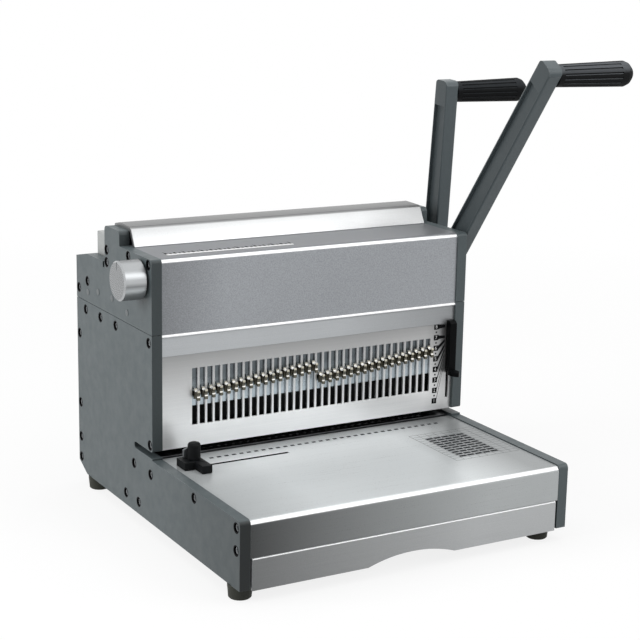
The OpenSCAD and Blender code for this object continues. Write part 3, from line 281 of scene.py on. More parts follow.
# brushed sheet: fine lines along the width, a soft cloud, and specks where the sheet is blasted
sheetLook = {
    "specular": 0.4, "lines": (90, 2, (0.12, 22, 22)), "grain": 950, "grainDetail": 1, "cloud": (6, 2),
    "brushShare": 4, "speckShare": 2, "cloudShare": 0.2, "toneSpan": ((0.6, 0.05), (1.4, 0.15)),
    "contrast": 0.05, "brushContrast": 0.6, "speckContrast": 0.3, "paintedGlint": (0.95, 0.955, 0.96),
    "beadFade": 0.4, "beadFacing": (0.1, 0.4), "swing": (-0.05, 0.07), "roughSpan": (0.5, 1.5),
    "bump": 0.04, "speckBump": 0.2, "depth": 0.2,
}
# shine: height in mm of the bead along the cover's lower rim that gets a painted highlight; rolled: how
# closely a face has to look up and forward to get a painted highlight
# the sheets' base colours differ partly by their finish and partly as painted light and shade, by how
# brightly each piece is lit
sheetSettings = {
    # painted shade: the cover's ledge darker, its front darker towards the left; painted highlights on its
    # bead and upper edge
    "coverSheet": {
        "color": (0.355, 0.370, 0.392), "metal": 0.55, "rough": 0.40, "speck": 0.42, "brush": 0.02,
        "grain": 800, "shine": 3.2, "rolled": (0.91, 0.98), "rolledWay": brinkWay, "paintedFaceTones": [(upWay, 0.53)],
        "runs": [(frontWay, axisX, coverLow.x + 0.07, coverLow.x - 0.03, 0.54)]},
    # painted shade: the panel's front darker towards the top and at its right end
    "panelSheet": {
        "color": (0.94, 0.953, 0.963), "metal": 0.70, "rough": 0.34, "speck": 0.06, "brush": 0.05,
        "runs": [(frontWay, axisZ, panelLow.z + 0.022, panelHigh.z, 0.38),
                 (frontWay, axisX, panelHigh.x - 0.035, panelHigh.x - 0.01, 0.66)]},
    # painted shade: the header's front darker towards the right
    "headerSheet": {
        "color": (0.50, 0.517, 0.533), "metal": 0.60, "rough": 0.38, "speck": 0.10, "brush": 0.05,
        "runs": [(frontWay, axisX, panelHigh.x - 0.14, panelHigh.x, 0.60)]},
    # painted shade: the table's front faces darker, more so towards the left; a painted highlight on its
    # rolled front edge
    "tableSheet": {
        "color": (0.69, 0.72, 0.727), "metal": 0.30, "rough": 0.30, "speck": 0.06, "brush": 0.035,
        "specular": 0.12, "rolled": (0.90, 0.97), "paintedFaceTones": [(frontWay, 0.73)],
        # painted shade: top darker at its left end and right of the middle; the front-facing slot wall at
        # the rear near black
        "runs": [(frontWay, axisX, tableHigh.x - 0.085, tableLow.x, 0.16),
                 (upWay, axisX, tableLow.x + 0.08, tableLow.x, 0.70),
                 (frontWay, axisY, tableHigh.y - 0.06, tableHigh.y - 0.05, 0.04),
                 (upWay, axisX, middleX + 0.075, middleX + 0.15, 0.47)]},
    # painted shade: the bar's top and left end darker, its slanted front darker towards the right end
    "barSheet": {
        "color": (0.690, 0.700, 0.705), "metal": 0.60, "rough": 0.32, "speck": 0.10, "brush": 0.04,
        "paintedFaceTones": [(upWay, 0.27), (leftWay, 0.3)],
        "runs": [(cornerWay, axisX, coverHigh.x - 0.08, coverHigh.x, 0.60)]},
    # painted shade: the tray front darker towards the left; a painted highlight on its rolled top edge
    "trayFrontSheet": {
        "color": (0.530, 0.545, 0.552), "metal": 0.30, "rough": 0.34, "speck": 0.10, "brush": 0.06,
        "rolled": (0.85, 0.97), "runs": [(frontWay, axisX, tableHigh.x - 0.10, tableLow.x, 0.38)]},
    "paleSheet": {
        "color": (0.400, 0.415, 0.410), "metal": 0.40, "rough": 0.45, "speck": 0.12, "brush": 0.04},
    "platedSheet": {
        "color": (0.300, 0.310, 0.320), "metal": 0.60, "rough": 0.38, "speck": 0.20, "brush": 0.05},
    "fenceSheet": {
        "color": (0.160, 0.170, 0.178), "metal": 0.60, "rough": 0.36, "speck": 0.15, "brush": 0.05},
}


def makeSheet(name, sheet):
    look = sheetLook
    specular = sheet.get("specular", look["specular"])
    material, tree, shader = newMaterial(name, metallic=sheet["metal"], specular=specular)
    brush = sheet["brush"] * look["brushShare"]
    speck = sheet["speck"] * look["speckShare"]
    middle = (brush + speck) / 2
    lines = grain(tree, *look["lines"])
    specks = grain(tree, sheet.get("grain", look["grain"]), look["grainDetail"])
    mixed = joined(tree, joined(tree, lines, brush, "MULTIPLY"), joined(tree, specks, speck, "MULTIPLY"))
    cloud = joined(tree, grain(tree, *look["cloud"]), look["cloudShare"], "MULTIPLY")
    toneSpan = [middle * times + more for times, more in look["toneSpan"]]
    tone = spread(tree, joined(tree, mixed, cloud), 0, 1, *toneSpan)
    contrast = look["contrast"] + look["speckContrast"] * sheet["speck"]
    contrast += look["brushContrast"] * sheet["brush"]
    color = tint(tree, tone, *shades(sheet["color"], (1 - contrast, 1 + contrast)))
    color = shaped(tree, color, sheet)
    if "shine" in sheet:
        rim = coverLow.z + sheet["shine"] * mm
        lowest = along(tree, axisZ, rim + look["beadFade"] * mm, rim)
        beadHighlight = joined(tree, lowest, facing(tree, cornerWay, *look["beadFacing"]), "MULTIPLY")
        color = tint(tree, beadHighlight, color, look["paintedGlint"])
    if "rolled" in sheet:
        corner = facing(tree, sheet.get("rolledWay", cornerWay), *sheet["rolled"])
        color = tint(tree, corner, color, look["paintedGlint"])
    roughSpan = [middle * times for times in look["roughSpan"]]
    coloured(tree, shader, color, roughened(tree, mixed, sheet["rough"], look["swing"], *roughSpan))
    raised(tree, shader, mixed, look["bump"] + look["speckBump"] * sheet["speck"], look["depth"])
    return material


# bare metal: streaks that a stretch draws out along the way it was ground, and a haze
metalLook = {
    "streakDetail": 4, "haze": (55, 4), "sumSpan": (0.7, 1.3), "shades": (0.82, 1.14),
    "swing": (-0.06, 0.12), "bump": 0.08, "depth": 0.2,
}
even, groundAcross, groundDown = (1, 1, 1), (1, 14, 14), (14, 14, 1)
metalSettings = {
    "groundSteel": {"color": (0.42, 0.425, 0.435), "rough": 0.30, "stretch": groundAcross, "scale": 70},
    "dieSteel": {"color": (0.16, 0.165, 0.17), "rough": 0.34, "stretch": groundAcross, "scale": 70},
    # painted shade: the pins' front faces darker towards the top, under the header
    "pinSteel": {
        "color": (0.44, 0.50, 0.54), "rough": 0.26, "stretch": groundDown, "scale": 70,
        "runs": [(frontWay, axisZ, panelLow.z + 0.0477, panelLow.z + 0.0707, 0.28)]},
    "headSteel": {"color": (0.34, 0.355, 0.365), "rough": 0.34, "stretch": even, "scale": 700},
    "screwSteel": {"color": (0.07, 0.076, 0.08), "rough": 0.36, "stretch": even, "scale": 700},
    # painted shade on the tabs' left and front faces, painted highlights on their upper front and top faces
    "warmNickel": {
        "color": (0.64, 0.62, 0.56), "rough": 0.20, "stretch": (1, 1, 3), "scale": 400,
        "paintedFaceTones": [(leftWay, (0.15, 0.137, 0.10)), (frontWay, (0.14, 0.134, 0.112)),
                  (cornerWay, (1.7, 1.75, 1.92)), (upWay, 1.2)]},
    "bushBronze": {"color": (0.50, 0.34, 0.16), "rough": 0.42, "stretch": even, "scale": 900},
    "plugMetal": {"color": (0.19, 0.205, 0.21), "rough": 0.42, "stretch": even, "scale": 600},
}


def makeMetal(name, metal):
    look = metalLook
    material, tree, shader = newMaterial(name, metallic=1.0)
    streak = grain(tree, metal["scale"], look["streakDetail"], metal["stretch"])
    haze = grain(tree, *look["haze"])
    tone = spread(tree, joined(tree, streak, haze), 0, 1, *look["sumSpan"])
    color = shaped(tree, tint(tree, tone, *shades(metal["color"], look["shades"])), metal)
    coloured(tree, shader, color, roughened(tree, haze, metal["rough"], look["swing"]))
    raised(tree, shader, streak, look["bump"], look["depth"])
    return material


# rubber and moulded plastic: a fine grain, dust on edges and in patches, and a painted sheen, the colour of
# the upper front
softLook = {
    "fineDetail": 3, "dust": (40, 5), "dustSpan": (0.45, 0.8), "dustShare": 0.4, "dustShade": 2.0,
    "rim": 0.8, "glossFacing": (0.80, 0.97), "swing": (-0.07, 0.1), "sumSpan": (0.7, 1.3), "depth": 0.3,
}
softSettings = {
    "gripRubber": {
        "color": (0.006, 0.0065, 0.007), "rough": 0.62, "scale": 800, "bump": 0.14, "specular": 0.10,
        "gloss": (0.115, 0.124, 0.134)},
    # a shaded copy of the grip rubber for the closer grip behind: darker, with a fainter painted sheen
    "gripDark": {
        "color": (0.005, 0.0055, 0.006), "rough": 0.62, "scale": 800, "bump": 0.14, "specular": 0.08,
        "gloss": (0.024, 0.027, 0.030)},
    "footRubber": {
        "color": (0.040, 0.042, 0.035), "rough": 0.62, "scale": 600, "bump": 0.35, "specular": 0.2},
    "mouldedBlack": {
        "color": (0.004, 0.0045, 0.005), "rough": 0.50, "scale": 1300, "bump": 0.10, "specular": 0.12},
    # the moulded black a little darker for the slider cap, as painted shade
    "sliderBlack": {
        "color": (0.003, 0.0034, 0.0038), "rough": 0.34, "scale": 1300, "bump": 0.10, "specular": 0.05},
}


def makeSoft(name, soft):
    look = softLook
    material, tree, shader = newMaterial(name, specular=soft["specular"])
    fine = grain(tree, soft["scale"], look["fineDetail"])
    dust = grain(tree, *look["dust"])
    tone = joined(tree, spread(tree, dust, 0, 1, *look["dustSpan"]), edgeMask(tree, look["rim"]), "MAXIMUM")
    tone = joined(tree, tone, look["dustShare"], "MULTIPLY")
    color = tint(tree, tone, soft["color"], shade(soft["color"], look["dustShade"]))
    if "gloss" in soft:
        color = tint(tree, facing(tree, cornerWay, *look["glossFacing"]), color, soft["gloss"])
    rough = roughened(tree, joined(tree, fine, dust), soft["rough"], look["swing"], *look["sumSpan"])
    coloured(tree, shader, color, rough)
    raised(tree, shader, fine, soft["bump"], look["depth"])
    return material


# printing ink, a little patchy
inkLook = {
    "specular": 0.1, "patch": (420, 3), "shades": (0.85, 1.15), "rough": 0.85, "swing": (-0.05, 0.08),
    "bump": 0.05, "depth": 0.1,
}
inkColors = {
    "printBlack": (0.008, 0.008, 0.009),
    "printGrey": (0.030, 0.032, 0.034),
    "printFaint": (0.22, 0.225, 0.23),
    "printWhite": (0.90, 0.91, 0.91),
}


def makeInk(name, plainColor):
    look = inkLook
    material, tree, shader = newMaterial(name, specular=look["specular"])
    patch = grain(tree, *look["patch"])
    color = tint(tree, spread(tree, patch, 0, 1), *shades(plainColor, look["shades"]))
    coloured(tree, shader, color, roughened(tree, patch, look["rough"], look["swing"]))
    raised(tree, shader, patch, look["bump"], look["depth"])
    return material


# turned aluminium: fine rings round the knob's own axis; painted reflections and shade in soft bands round
# its rim, by how far the rim looks up, and painted shade on its face; a band is a place from the rim's
# lowest to its highest side, and its tone
knobSettings = {
    "color": (0.46, 0.475, 0.485), "metal": 0.75, "rough": 0.27, "rings": 1500, "waver": 0.6,
    "ringDetail": 1, "ringShare": 0.5, "cloud": (60, 3), "sumSpan": (0.3, 1.2), "shades": (0.93, 1.07),
    "paintedBands": [(0.0, 0.35), (0.18, 0.75), (0.33, 1.0), (0.43, 0.5), (0.52, 1.0), (0.70, 0.95), (0.82, 0.6),
              (1.0, 0.55)],
    "face": 0.57, "faceFacing": (0.9, 0.99), "swing": (-0.03, 0.05), "bump": 0.03, "depth": 0.05,
}


def makeTurned(name, knob):
    material, tree, shader = newMaterial(name, metallic=knob["metal"])
    low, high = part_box("size_knob")
    wave = addNode(tree, "ShaderNodeTexWave", {
        "Vector": placed(tree, centre=(low + high) / 2), "Scale": knob["rings"],
        "Distortion": knob["waver"], "Detail": knob["ringDetail"]}, wave_type="RINGS", rings_direction="X")
    rings = wave.outputs["Fac"]
    ringed = joined(tree, joined(tree, rings, knob["ringShare"], "MULTIPLY"), grain(tree, *knob["cloud"]))
    tone = spread(tree, ringed, 0, 1, *knob["sumSpan"])
    color = tint(tree, tone, *shades(knob["color"], knob["shades"]))
    ramp = addNode(tree, "ShaderNodeValToRGB", {0: facing(tree, upWay, -1, 1)})
    stops = ramp.color_ramp.elements
    for place, value in knob["paintedBands"][1:-1]:
        stops.new(place)
    for stop, (place, value) in zip(stops, knob["paintedBands"]):
        stop.position = place
        stop.color = (value, value, value, 1)
    onRim = joined(tree, 1.0, facing(tree, leftWay), "SUBTRACT")
    color = tint(tree, onRim, color, ramp.outputs[0], "MULTIPLY")
    color = toned(tree, facing(tree, leftWay, *knob["faceFacing"]), color, knob["face"])
    coloured(tree, shader, color, roughened(tree, rings, knob["rough"], knob["swing"], 0, 1))
    raised(tree, shader, rings, knob["bump"], knob["depth"])
    return material


finish = {}
for maker, looks in ((makePaint, paintSettings), (makeSheet, sheetSettings), (makeMetal, metalSettings),
                     (makeSoft, softSettings), (makeInk, inkColors)):
    for name, settings in looks.items():
        finish[name] = maker(name, settings)
finish["turnedKnob"] = makeTurned("turnedKnob", knobSettings)
print("finishes made:", len(finish))

# each finish, how far it has its edges broken in mm, and the solids that have it
solidFinish = [
    ("slateLeft", 1.5, ["left_lower_plate"]),
    ("slatePaint", 1.5, ["right_lower_plate", "left_upper_plate", "right_upper_plate"]),
    ("slatePaint", 0.5, ["back_panel"]),
    ("chassisPaint", 0.4, ["base_pan", "chassis_deck"]),
    ("leverPaint", 0.9, ["punch_arm", "closer_arm"]),
    ("oxideBlack", 0.3, ["punch_guide", "paper_stop"]),
    ("tableSheet", 0.4, ["table_top"]),
    ("panelSheet", 0.3, ["front_panel"]),
    ("headerSheet", 0.4, ["header_strip"]),
    ("coverSheet", 0.5, ["upper_cover"]),
    ("barSheet", 0.8, ["top_bar"]),
    ("trayFrontSheet", 0.8, ["tray_front"]),
    ("paleSheet", 0.4, ["closer_bed"]),
    ("paleSheet", 0.6, ["closing_bar"]),
    ("platedSheet", 0.3, ["tray_runners", "slider_nut"]),
    ("platedSheet", 0.4, ["guide_nut", "chip_tray"]),
    ("fenceSheet", 0.4, ["guide_fence"]),
    ("groundSteel", 0, ["return_springs"]),
    ("groundSteel", 0.3, ["tie_rods"]),
    ("groundSteel", 0.4, ["fixed_jaw", "left_carriage", "right_carriage", "punch_crank_pins",
                          "closer_crank_pins", "closer_spacer", "knob_spindle", "stop_cam"]),
    ("groundSteel", 0.5, ["guide_posts", "punch_shaft", "punch_cranks", "press_bar", "press_lugs",
                          "closer_shaft", "closer_cranks"]),
    ("dieSteel", 0.3, ["die_plate"]),
    ("pinSteel", 0.2, ["punch_pins"]),
    ("screwSteel", 0, ["plate_screws"]),
    ("screwSteel", 0.4, ["punch_arm_screw", "closer_arm_screw"]),
    ("warmNickel", 0, ["pin_tabs"]),
    ("bushBronze", 0.3, ["punch_bushes", "closer_bushes", "knob_bush"]),
    ("plugMetal", 0.5, ["bore_plugs"]),
    ("turnedKnob", 0.9, ["size_knob"]),
    ("gripRubber", 0, ["punch_grip"]),
    ("gripDark", 0, ["closer_grip"]),
    ("footRubber", 0.5, ["feet"]),
    ("mouldedBlack", 0.4, ["clamp_post"]),
    ("mouldedBlack", 0.8, ["guide_block"]),
    ("sliderBlack", 0.7, ["slider_cap"]),
]
# weld: points closer than this in mm are one; an edge wider than wide gets one step more
edgeSettings = {"weld": 0.01, "sharp": 38, "steps": 2, "wide": 1, "weight": 60}


def dress(solid, look, edge):
    solid.data.materials.clear()
    solid.data.materials.append(finish[look])
    if edge == 0:
        return
    weld = solid.modifiers.new("joinTriangles", "WELD")
    weld.merge_threshold = edgeSettings["weld"] * mm
    broken = solid.modifiers.new("brokenEdge", "BEVEL")
    broken.width = edge * mm
    broken.segments = edgeSettings["steps"] + (edge > edgeSettings["wide"])
    broken.limit_method = "ANGLE"
    broken.angle_limit = math.radians(edgeSettings["sharp"])
    broken.use_clamp_overlap = True
    shading = solid.modifiers.new("evenShade", "WEIGHTED_NORMAL")
    shading.keep_sharp = False
    shading.weight = edgeSettings["weight"]


dressed = set()
for look, edge, names in solidFinish:
    for name in names:
        dress(nodes[name], look, edge)
        dressed.add(name)
print("solids dressed:", len(dressed), "left:", sorted(set(nodes) - dressed))

# geometry node helpers


def nodeTree(name, inputs):
    tree = bpy.data.node_groups.new(name, "GeometryNodeTree")
    face = tree.interface
    face.new_socket("Geometry", in_out="INPUT", socket_type="NodeSocketGeometry")
    face.new_socket("Geometry", in_out="OUTPUT", socket_type="NodeSocketGeometry")
    sockets = {}
    for label, kind in inputs.items():
        sockets[label] = face.new_socket(label, in_out="INPUT", socket_type="NodeSocket" + kind).identifier
    return tree, sockets, addNode(tree, "NodeGroupInput").outputs


# ends a tree: one copy of the shape on each point, made real and given its finish
def copied(tree, given, points, shape, **more):
    copies = addNode(tree, "GeometryNodeInstanceOnPoints", {"Points": points, "Instance": shape, **more})
    real = addNode(tree, "GeometryNodeRealizeInstances", {"Geometry": copies.outputs[0]})
    colour = addNode(tree, "GeometryNodeSetMaterial", {
        "Geometry": real.outputs[0], "Material": given["Finish"]})
    addNode(tree, "NodeGroupOutput", {0: colour.outputs[0]})


def addObject(name, data):
    made = bpy.data.objects.new(name, data)
    scene.collection.objects.link(made)
    return made


def evaluatedMesh(source):
    bpy.context.view_layer.update()
    return bpy.data.meshes.new_from_object(source.evaluated_get(bpy.context.evaluated_depsgraph_get()))


def meshOf(build, name):
    mesh = bpy.data.meshes.new(name)
    build.to_mesh(mesh)
    build.free()
    return mesh


# a piece with the plain mesh that the tree makes from the values
def grow(name, tree, sockets, values, mesh=None):
    piece = addObject(name, mesh or bpy.data.meshes.new(name + "Seed"))
    maker = piece.modifiers.new("maker", "NODES")
    maker.node_group = tree
    for label, value in values.items():
        maker[sockets[label]] = value
    solid = evaluatedMesh(piece)
    piece.modifiers.clear()
    piece.data = solid
    solid.name = name
    return piece


def hang(piece, body):
    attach(piece, body)
    return piece


def scaled(*values):
    return tuple(value * mm for value in values)


# printed marks lie in the surface with half their thickness, in mm
inkProud = 0.06
inkThick = 2 * inkProud


def marksTree():
    tree, sockets, given = nodeTree("rowOfMarks", {
        "Count": "Int", "First": "Vector", "Step": "Vector", "Size": "Vector", "Finish": "Material"})
    line = addNode(tree, "GeometryNodeMeshLine", {
        "Count": given["Count"], "Start Location": given["First"], "Offset": given["Step"]}, mode="OFFSET")
    block = addNode(tree, "GeometryNodeMeshCube", {"Size": given["Size"]})
    copied(tree, given, line.outputs[0], block.outputs[0])
    return tree, sockets


marks, marksSockets = marksTree()


# a row of equal thin blocks, with the first one's place in metres, and step and size in mm
def markRow(name, count, first, step, size, ink):
    piece = grow(name, marks, marksSockets, {
        "Count": count, "First": first, "Step": scaled(*step), "Size": scaled(*size),
        "Finish": finish[ink]})
    hang(piece, "frame")


def printShape(name, build, ink):
    mesh = meshOf(build, name)
    mesh.materials.append(finish[ink])
    hang(addObject(name, mesh), "frame")


numberSteps = 3


def printNumbers(name, texts, places, height, turn, ink):
    whole = bmesh.new()
    for text, place in zip(texts, places):
        curve = bpy.data.curves.new("number", "FONT")
        curve.body = text
        curve.size = height * mm
        curve.align_x = "CENTER"
        curve.align_y = "CENTER"
        curve.resolution_u = numberSteps
        holder = addObject("number", curve)
        flat = evaluatedMesh(holder)
        flat.materials.clear()
        flat.transform(Matrix.Translation(place) @ turn.to_4x4())
        whole.from_mesh(flat)
        bpy.data.objects.remove(holder)
        bpy.data.curves.remove(curve)
        bpy.data.meshes.remove(flat)
    printShape(name, whole, ink)


# row of dashes on the table, at the pitch of the punches; left is from the middle, back from the rear edge
dashSettings = {"count": 33, "pitch": 8.467, "left": -126.5, "back": 18.6, "size": (4.5, 3.6)}


def makeDashes(dash):
    first = (middleX + dash["left"] * mm, tableHigh.y - dash["back"] * mm, tableHigh.z)
    markRow("tableDashes", dash["count"], first, (dash["pitch"], 0, 0), (*dash["size"], inkThick),
            "printGrey")


# plain ruled chart on the right of the table; bars fill a range of its columns from the second row on
chartSettings = {
    "left": 92, "front": 62, "width": 78, "depth": 90, "columns": 8, "rows": 13, "line": 0.5,
    "filled": (1, 6), "bars": 10, "bar": (8.2, 4.2),
}


def makeChart(chart):
    wide, deep, line = chart["width"], chart["depth"], chart["line"]
    cellX, cellY = wide / chart["columns"], deep / chart["rows"]
    corner = Vector((middleX + chart["left"] * mm, tableLow.y + chart["front"] * mm, tableHigh.z))
    markRow("chartColumns", chart["columns"] + 1, corner + Vector(scaled(0, deep / 2, 0)), (cellX, 0, 0),
            (line, deep, inkThick), "printFaint")
    markRow("chartRows", chart["rows"] + 1, corner + Vector(scaled(wide / 2, 0, 0)), (0, cellY, 0),
            (wide, line, inkThick), "printFaint")
    for k in range(*chart["filled"]):
        first = corner + Vector(scaled((k + 0.5) * cellX, 1.5 * cellY, 0))
        markRow("chartBars%d" % k, chart["bars"], first, (0, cellY, 0), (*chart["bar"], inkThick),
                "printGrey")


# rule on the ledge of the upper cover: a pale line with short and long ticks behind it, and numbers
ruleSettings = {
    "left": -160, "front": 19, "length": 142, "line": 5.0, "margin": 1,
    "ticks": 29, "pitch": 5, "tick": (1.5, 4.0), "tickBack": 4.2,
    "longTicks": 15, "longPitch": 10, "longTick": (2.0, 6.0), "longBack": 5.2,
    "numberEach": 2, "number": 3.4, "numberBack": 11.5,
}


def onLedge(rule, right, back, up):
    start = Vector((middleX + rule["left"] * mm, coverLow.y + rule["front"] * mm, coverHigh.z))
    return start + Vector(scaled(right, back, up))


def makeRule(rule):
    margin = rule["margin"]
    markRow("ledgeRule", 1, onLedge(rule, rule["length"] / 2, 0, 0), (0, 0, 0),
            (rule["length"], rule["line"], inkThick), "printWhite")
    markRow("ledgeTicks", rule["ticks"], onLedge(rule, margin, rule["tickBack"], inkProud),
            (rule["pitch"], 0, 0), (*rule["tick"], inkThick), "printBlack")
    markRow("ledgeLongTicks", rule["longTicks"], onLedge(rule, margin, rule["longBack"], inkProud),
            (rule["longPitch"], 0, 0), (*rule["longTick"], inkThick), "printBlack")


def numberRule(rule):
    marked = range(0, rule["longTicks"], rule["numberEach"])
    texts = [str(k) for k in marked]
    rights = [rule["margin"] + rule["longPitch"] * k for k in marked]
    places = [onLedge(rule, right, rule["numberBack"], inkProud) for right in rights]
    printNumbers("ledgeNumbers", texts, places, rule["number"], Matrix.Identity(3), "printBlack")


# size scale beside the slider: dark squares with numbers, and dots between
scaleSettings = {
    "right": 21.5, "drop": 2.8, "pitch": 11.93, "count": 8, "square": 6.0, "dot": 1.8,
    "number": 5.2, "numberProud": 0.132,
}
scaleX = panelHigh.x - scaleSettings["right"] * mm
scaleTop = panelHigh.z - scaleSettings["drop"] * mm


def makeScale(scale):
    square, dot, step = scale["square"], scale["dot"], (0, 0, -scale["pitch"])
    between = scaleTop - scale["pitch"] / 2 * mm
    markRow("scaleSquares", scale["count"], (scaleX, panelLow.y, scaleTop), step,
            (square, inkThick, square), "printBlack")
    markRow("scaleDots", scale["count"] - 1, (scaleX, panelLow.y, between), step,
            (dot, inkThick, dot), "printBlack")


def numberScale(scale):
    y = panelLow.y - scale["numberProud"] * mm
    places = [Vector((scaleX, y, scaleTop - k * scale["pitch"] * mm)) for k in range(scale["count"])]
    texts = [str(scale["count"] - k) for k in range(scale["count"])]
    upright = Matrix.Rotation(math.radians(90), 3, "X")
    printNumbers("scaleNumbers", texts, places, scale["number"], upright, "printWhite")


# from each square a tapered leader runs to the slider, the upper ones level and the rest rising
leaderSettings = {
    "from": 2.6, "to": 11.4, "level": 2, "end": 11, "gather": 5.25, "wide": 4.8, "less": 0.58, "thin": 1.4,
    "taper": 0.6, "steepest": 1.8,
}


def makeLeaders(leader, scale):
    build = bmesh.new()
    startX, endX = scaleX + leader["from"] * mm, scaleX + leader["to"] * mm
    y = panelLow.y - inkProud * mm
    for k in range(scale["count"]):
        startZ = endZ = scaleTop - k * scale["pitch"] * mm
        if k >= leader["level"]:
            endZ = scaleTop - (leader["end"] + leader["gather"] * (k - 1)) * mm
        steep = math.hypot(endX - startX, endZ - startZ) / (endX - startX)
        width = max(leader["thin"], leader["wide"] - leader["less"] * k)
        half = width / 2 * mm * min(steep, leader["steepest"])
        tip = half * leader["taper"]
        corners = [(startX, startZ - half), (endX, endZ - tip), (endX, endZ + tip), (startX, startZ + half)]
        build.faces.new([build.verts.new((x, y, z)) for x, z in corners])
    bmesh.ops.recalc_face_normals(build, faces=build.faces)
    printShape("scaleLeaders", build, "printBlack")


makeDashes(dashSettings)
makeChart(chartSettings)
makeRule(ruleSettings)
makeScale(scaleSettings)
makeLeaders(leaderSettings, scaleSettings)
numberScale(scaleSettings)
numberRule(ruleSettings)
print("printed marks made")

# pull tabs: one waisted tab with a notched front, set along the row with its rise; half: tabs in one rise
tabSettings = {
    "count": 34, "half": 17, "thick": 3.4, "high": 11.4, "reach": 9.6, "stem": 5.0,
    "waist": 2.6, "hollow": 1.4, "horn": 1.6, "arcSteps": 8, "drop": 1.2, "nose": 1.8, "noseLean": 0.6,
    "chin": 0.6, "notch": 1.2, "lip": 3.2, "round": 0.55, "roundSteps": 2, "roundProfile": 0.6, "sharp": 40,
}


# the tab from its side, in mm back from the panel's face and up from its foot
def tabOutline(tab, back):
    front, inner = -tab["reach"], tab["notch"] - tab["reach"]
    span = tab["reach"] / 2 - tab["horn"]
    stemLow = (tab["high"] - tab["stem"]) / 2
    stemHigh = stemLow + tab["stem"]
    upper = tab["high"] - tab["drop"] - tab["nose"] - tab["chin"]

    # a shallow arc between the horns
    def arc(dip):
        radius = (span ** 2 + dip ** 2) / (2 * dip)
        sweep = math.asin(span / radius)
        points = []
        for k in range(tab["arcSteps"] + 1):
            turn = -sweep + 2 * sweep * k / tab["arcSteps"]
            points.append((front / 2 + radius * math.sin(turn), radius * math.cos(turn) - radius + dip))
        return points

    # the upper edge falls to the front
    def top(y, dip=0.0):
        return (y, tab["high"] + tab["drop"] * y / tab["reach"] - dip)

    outline = [(front, 0)] + arc(tab["hollow"])
    outline += [(0, 0), (0, stemLow), (back, stemLow), (back, stemHigh), (0, stemHigh), top(0)]
    outline += [top(y, dip) for y, dip in reversed(arc(tab["waist"]))]
    outline += [top(front + tab["noseLean"] * tab["nose"]), top(front, tab["nose"]), (front, upper)]
    outline += [(inner, upper - tab["notch"]), (inner, tab["lip"] + tab["notch"]), (front, tab["lip"])]
    return outline


def tabMesh(tab, back):
    side = tab["thick"] / 2 * mm
    build = bmesh.new()
    face = build.faces.new([build.verts.new((-side, y * mm, z * mm)) for y, z in tabOutline(tab, back)])
    made = bmesh.ops.extrude_face_region(build, geom=[face])["geom"]
    moved = [part for part in made if isinstance(part, bmesh.types.BMVert)]
    bmesh.ops.translate(build, vec=(2 * side, 0, 0), verts=moved)
    bmesh.ops.recalc_face_normals(build, faces=build.faces)
    sharp = [edge for edge in build.edges if edge.calc_face_angle(0) > math.radians(tab["sharp"])]
    bmesh.ops.bevel(build, geom=sharp, offset=tab["round"] * mm, segments=tab["roundSteps"], affect="EDGES",
                    profile=tab["roundProfile"], clamp_overlap=True)
    return meshOf(build, "tabShape")


def tabsTree():
    tree, sockets, given = nodeTree("rowOfTabs", {
        "Count": "Int", "Half": "Int", "First": "Vector", "Step": "Vector", "Rise": "Float",
        "Tab": "Object", "Finish": "Material"})
    line = addNode(tree, "GeometryNodeMeshLine", {
        "Count": given["Count"], "Start Location": given["First"], "Offset": given["Step"]}, mode="OFFSET")
    index = addNode(tree, "GeometryNodeInputIndex")
    place = joined(tree, index.outputs[0], given["Half"], "MODULO")
    up = addNode(tree, "ShaderNodeCombineXYZ", {"Z": joined(tree, place, given["Rise"], "MULTIPLY")})
    move = addNode(tree, "GeometryNodeSetPosition", {"Geometry": line.outputs[0], "Offset": up.outputs[0]})
    shape = addNode(tree, "GeometryNodeObjectInfo", {"Object": given["Tab"]})
    copied(tree, given, move.outputs[0], shape.outputs["Geometry"])
    return tree, sockets


def makeTabs(tab):
    low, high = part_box("pin_tabs")
    pitch = (high.x - low.x - tab["thick"] * mm) / (tab["count"] - 1)
    rise = (high.z - low.z - tab["high"] * mm) / (tab["half"] - 1)
    first = (low.x + tab["thick"] / 2 * mm, panelLow.y, low.z)
    seed = addObject("tabShape", tabMesh(tab, (high.y - panelLow.y) / mm))
    tree, sockets = tabsTree()
    piece = grow("pullTabs", tree, sockets, {
        "Count": tab["count"], "Half": tab["half"], "First": first, "Step": (pitch, 0, 0), "Rise": rise,
        "Tab": seed, "Finish": finish["warmNickel"]})
    bpy.data.objects.remove(seed)
    hang(piece, "press")
    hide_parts("pin_tabs")
    print("pull tabs:", len(piece.data.polygons), "faces, pitch", round(pitch / mm, 3))


makeTabs(tabSettings)

# socket screws, set where the solids' screws are, each in a black cup that paints the shade inside its
# bore;
# each ring is a radius and a depth in mm
screwSettings = {
    "head": [(3.7, 2.75), (3.7, 1.9), (3.2, 1.4)],
    "socket": [(2.25, 1.4), (2.0, 1.65), (2.0, 2.5)],
    "boreShade": [(4.4, 3.1), (4.4, 0.3), (5.4, 0.3), (5.4, -0.04), (4.4, -0.04), (4.25, 0.12), (4.25, 2.8)],
    "sides": 24,
}


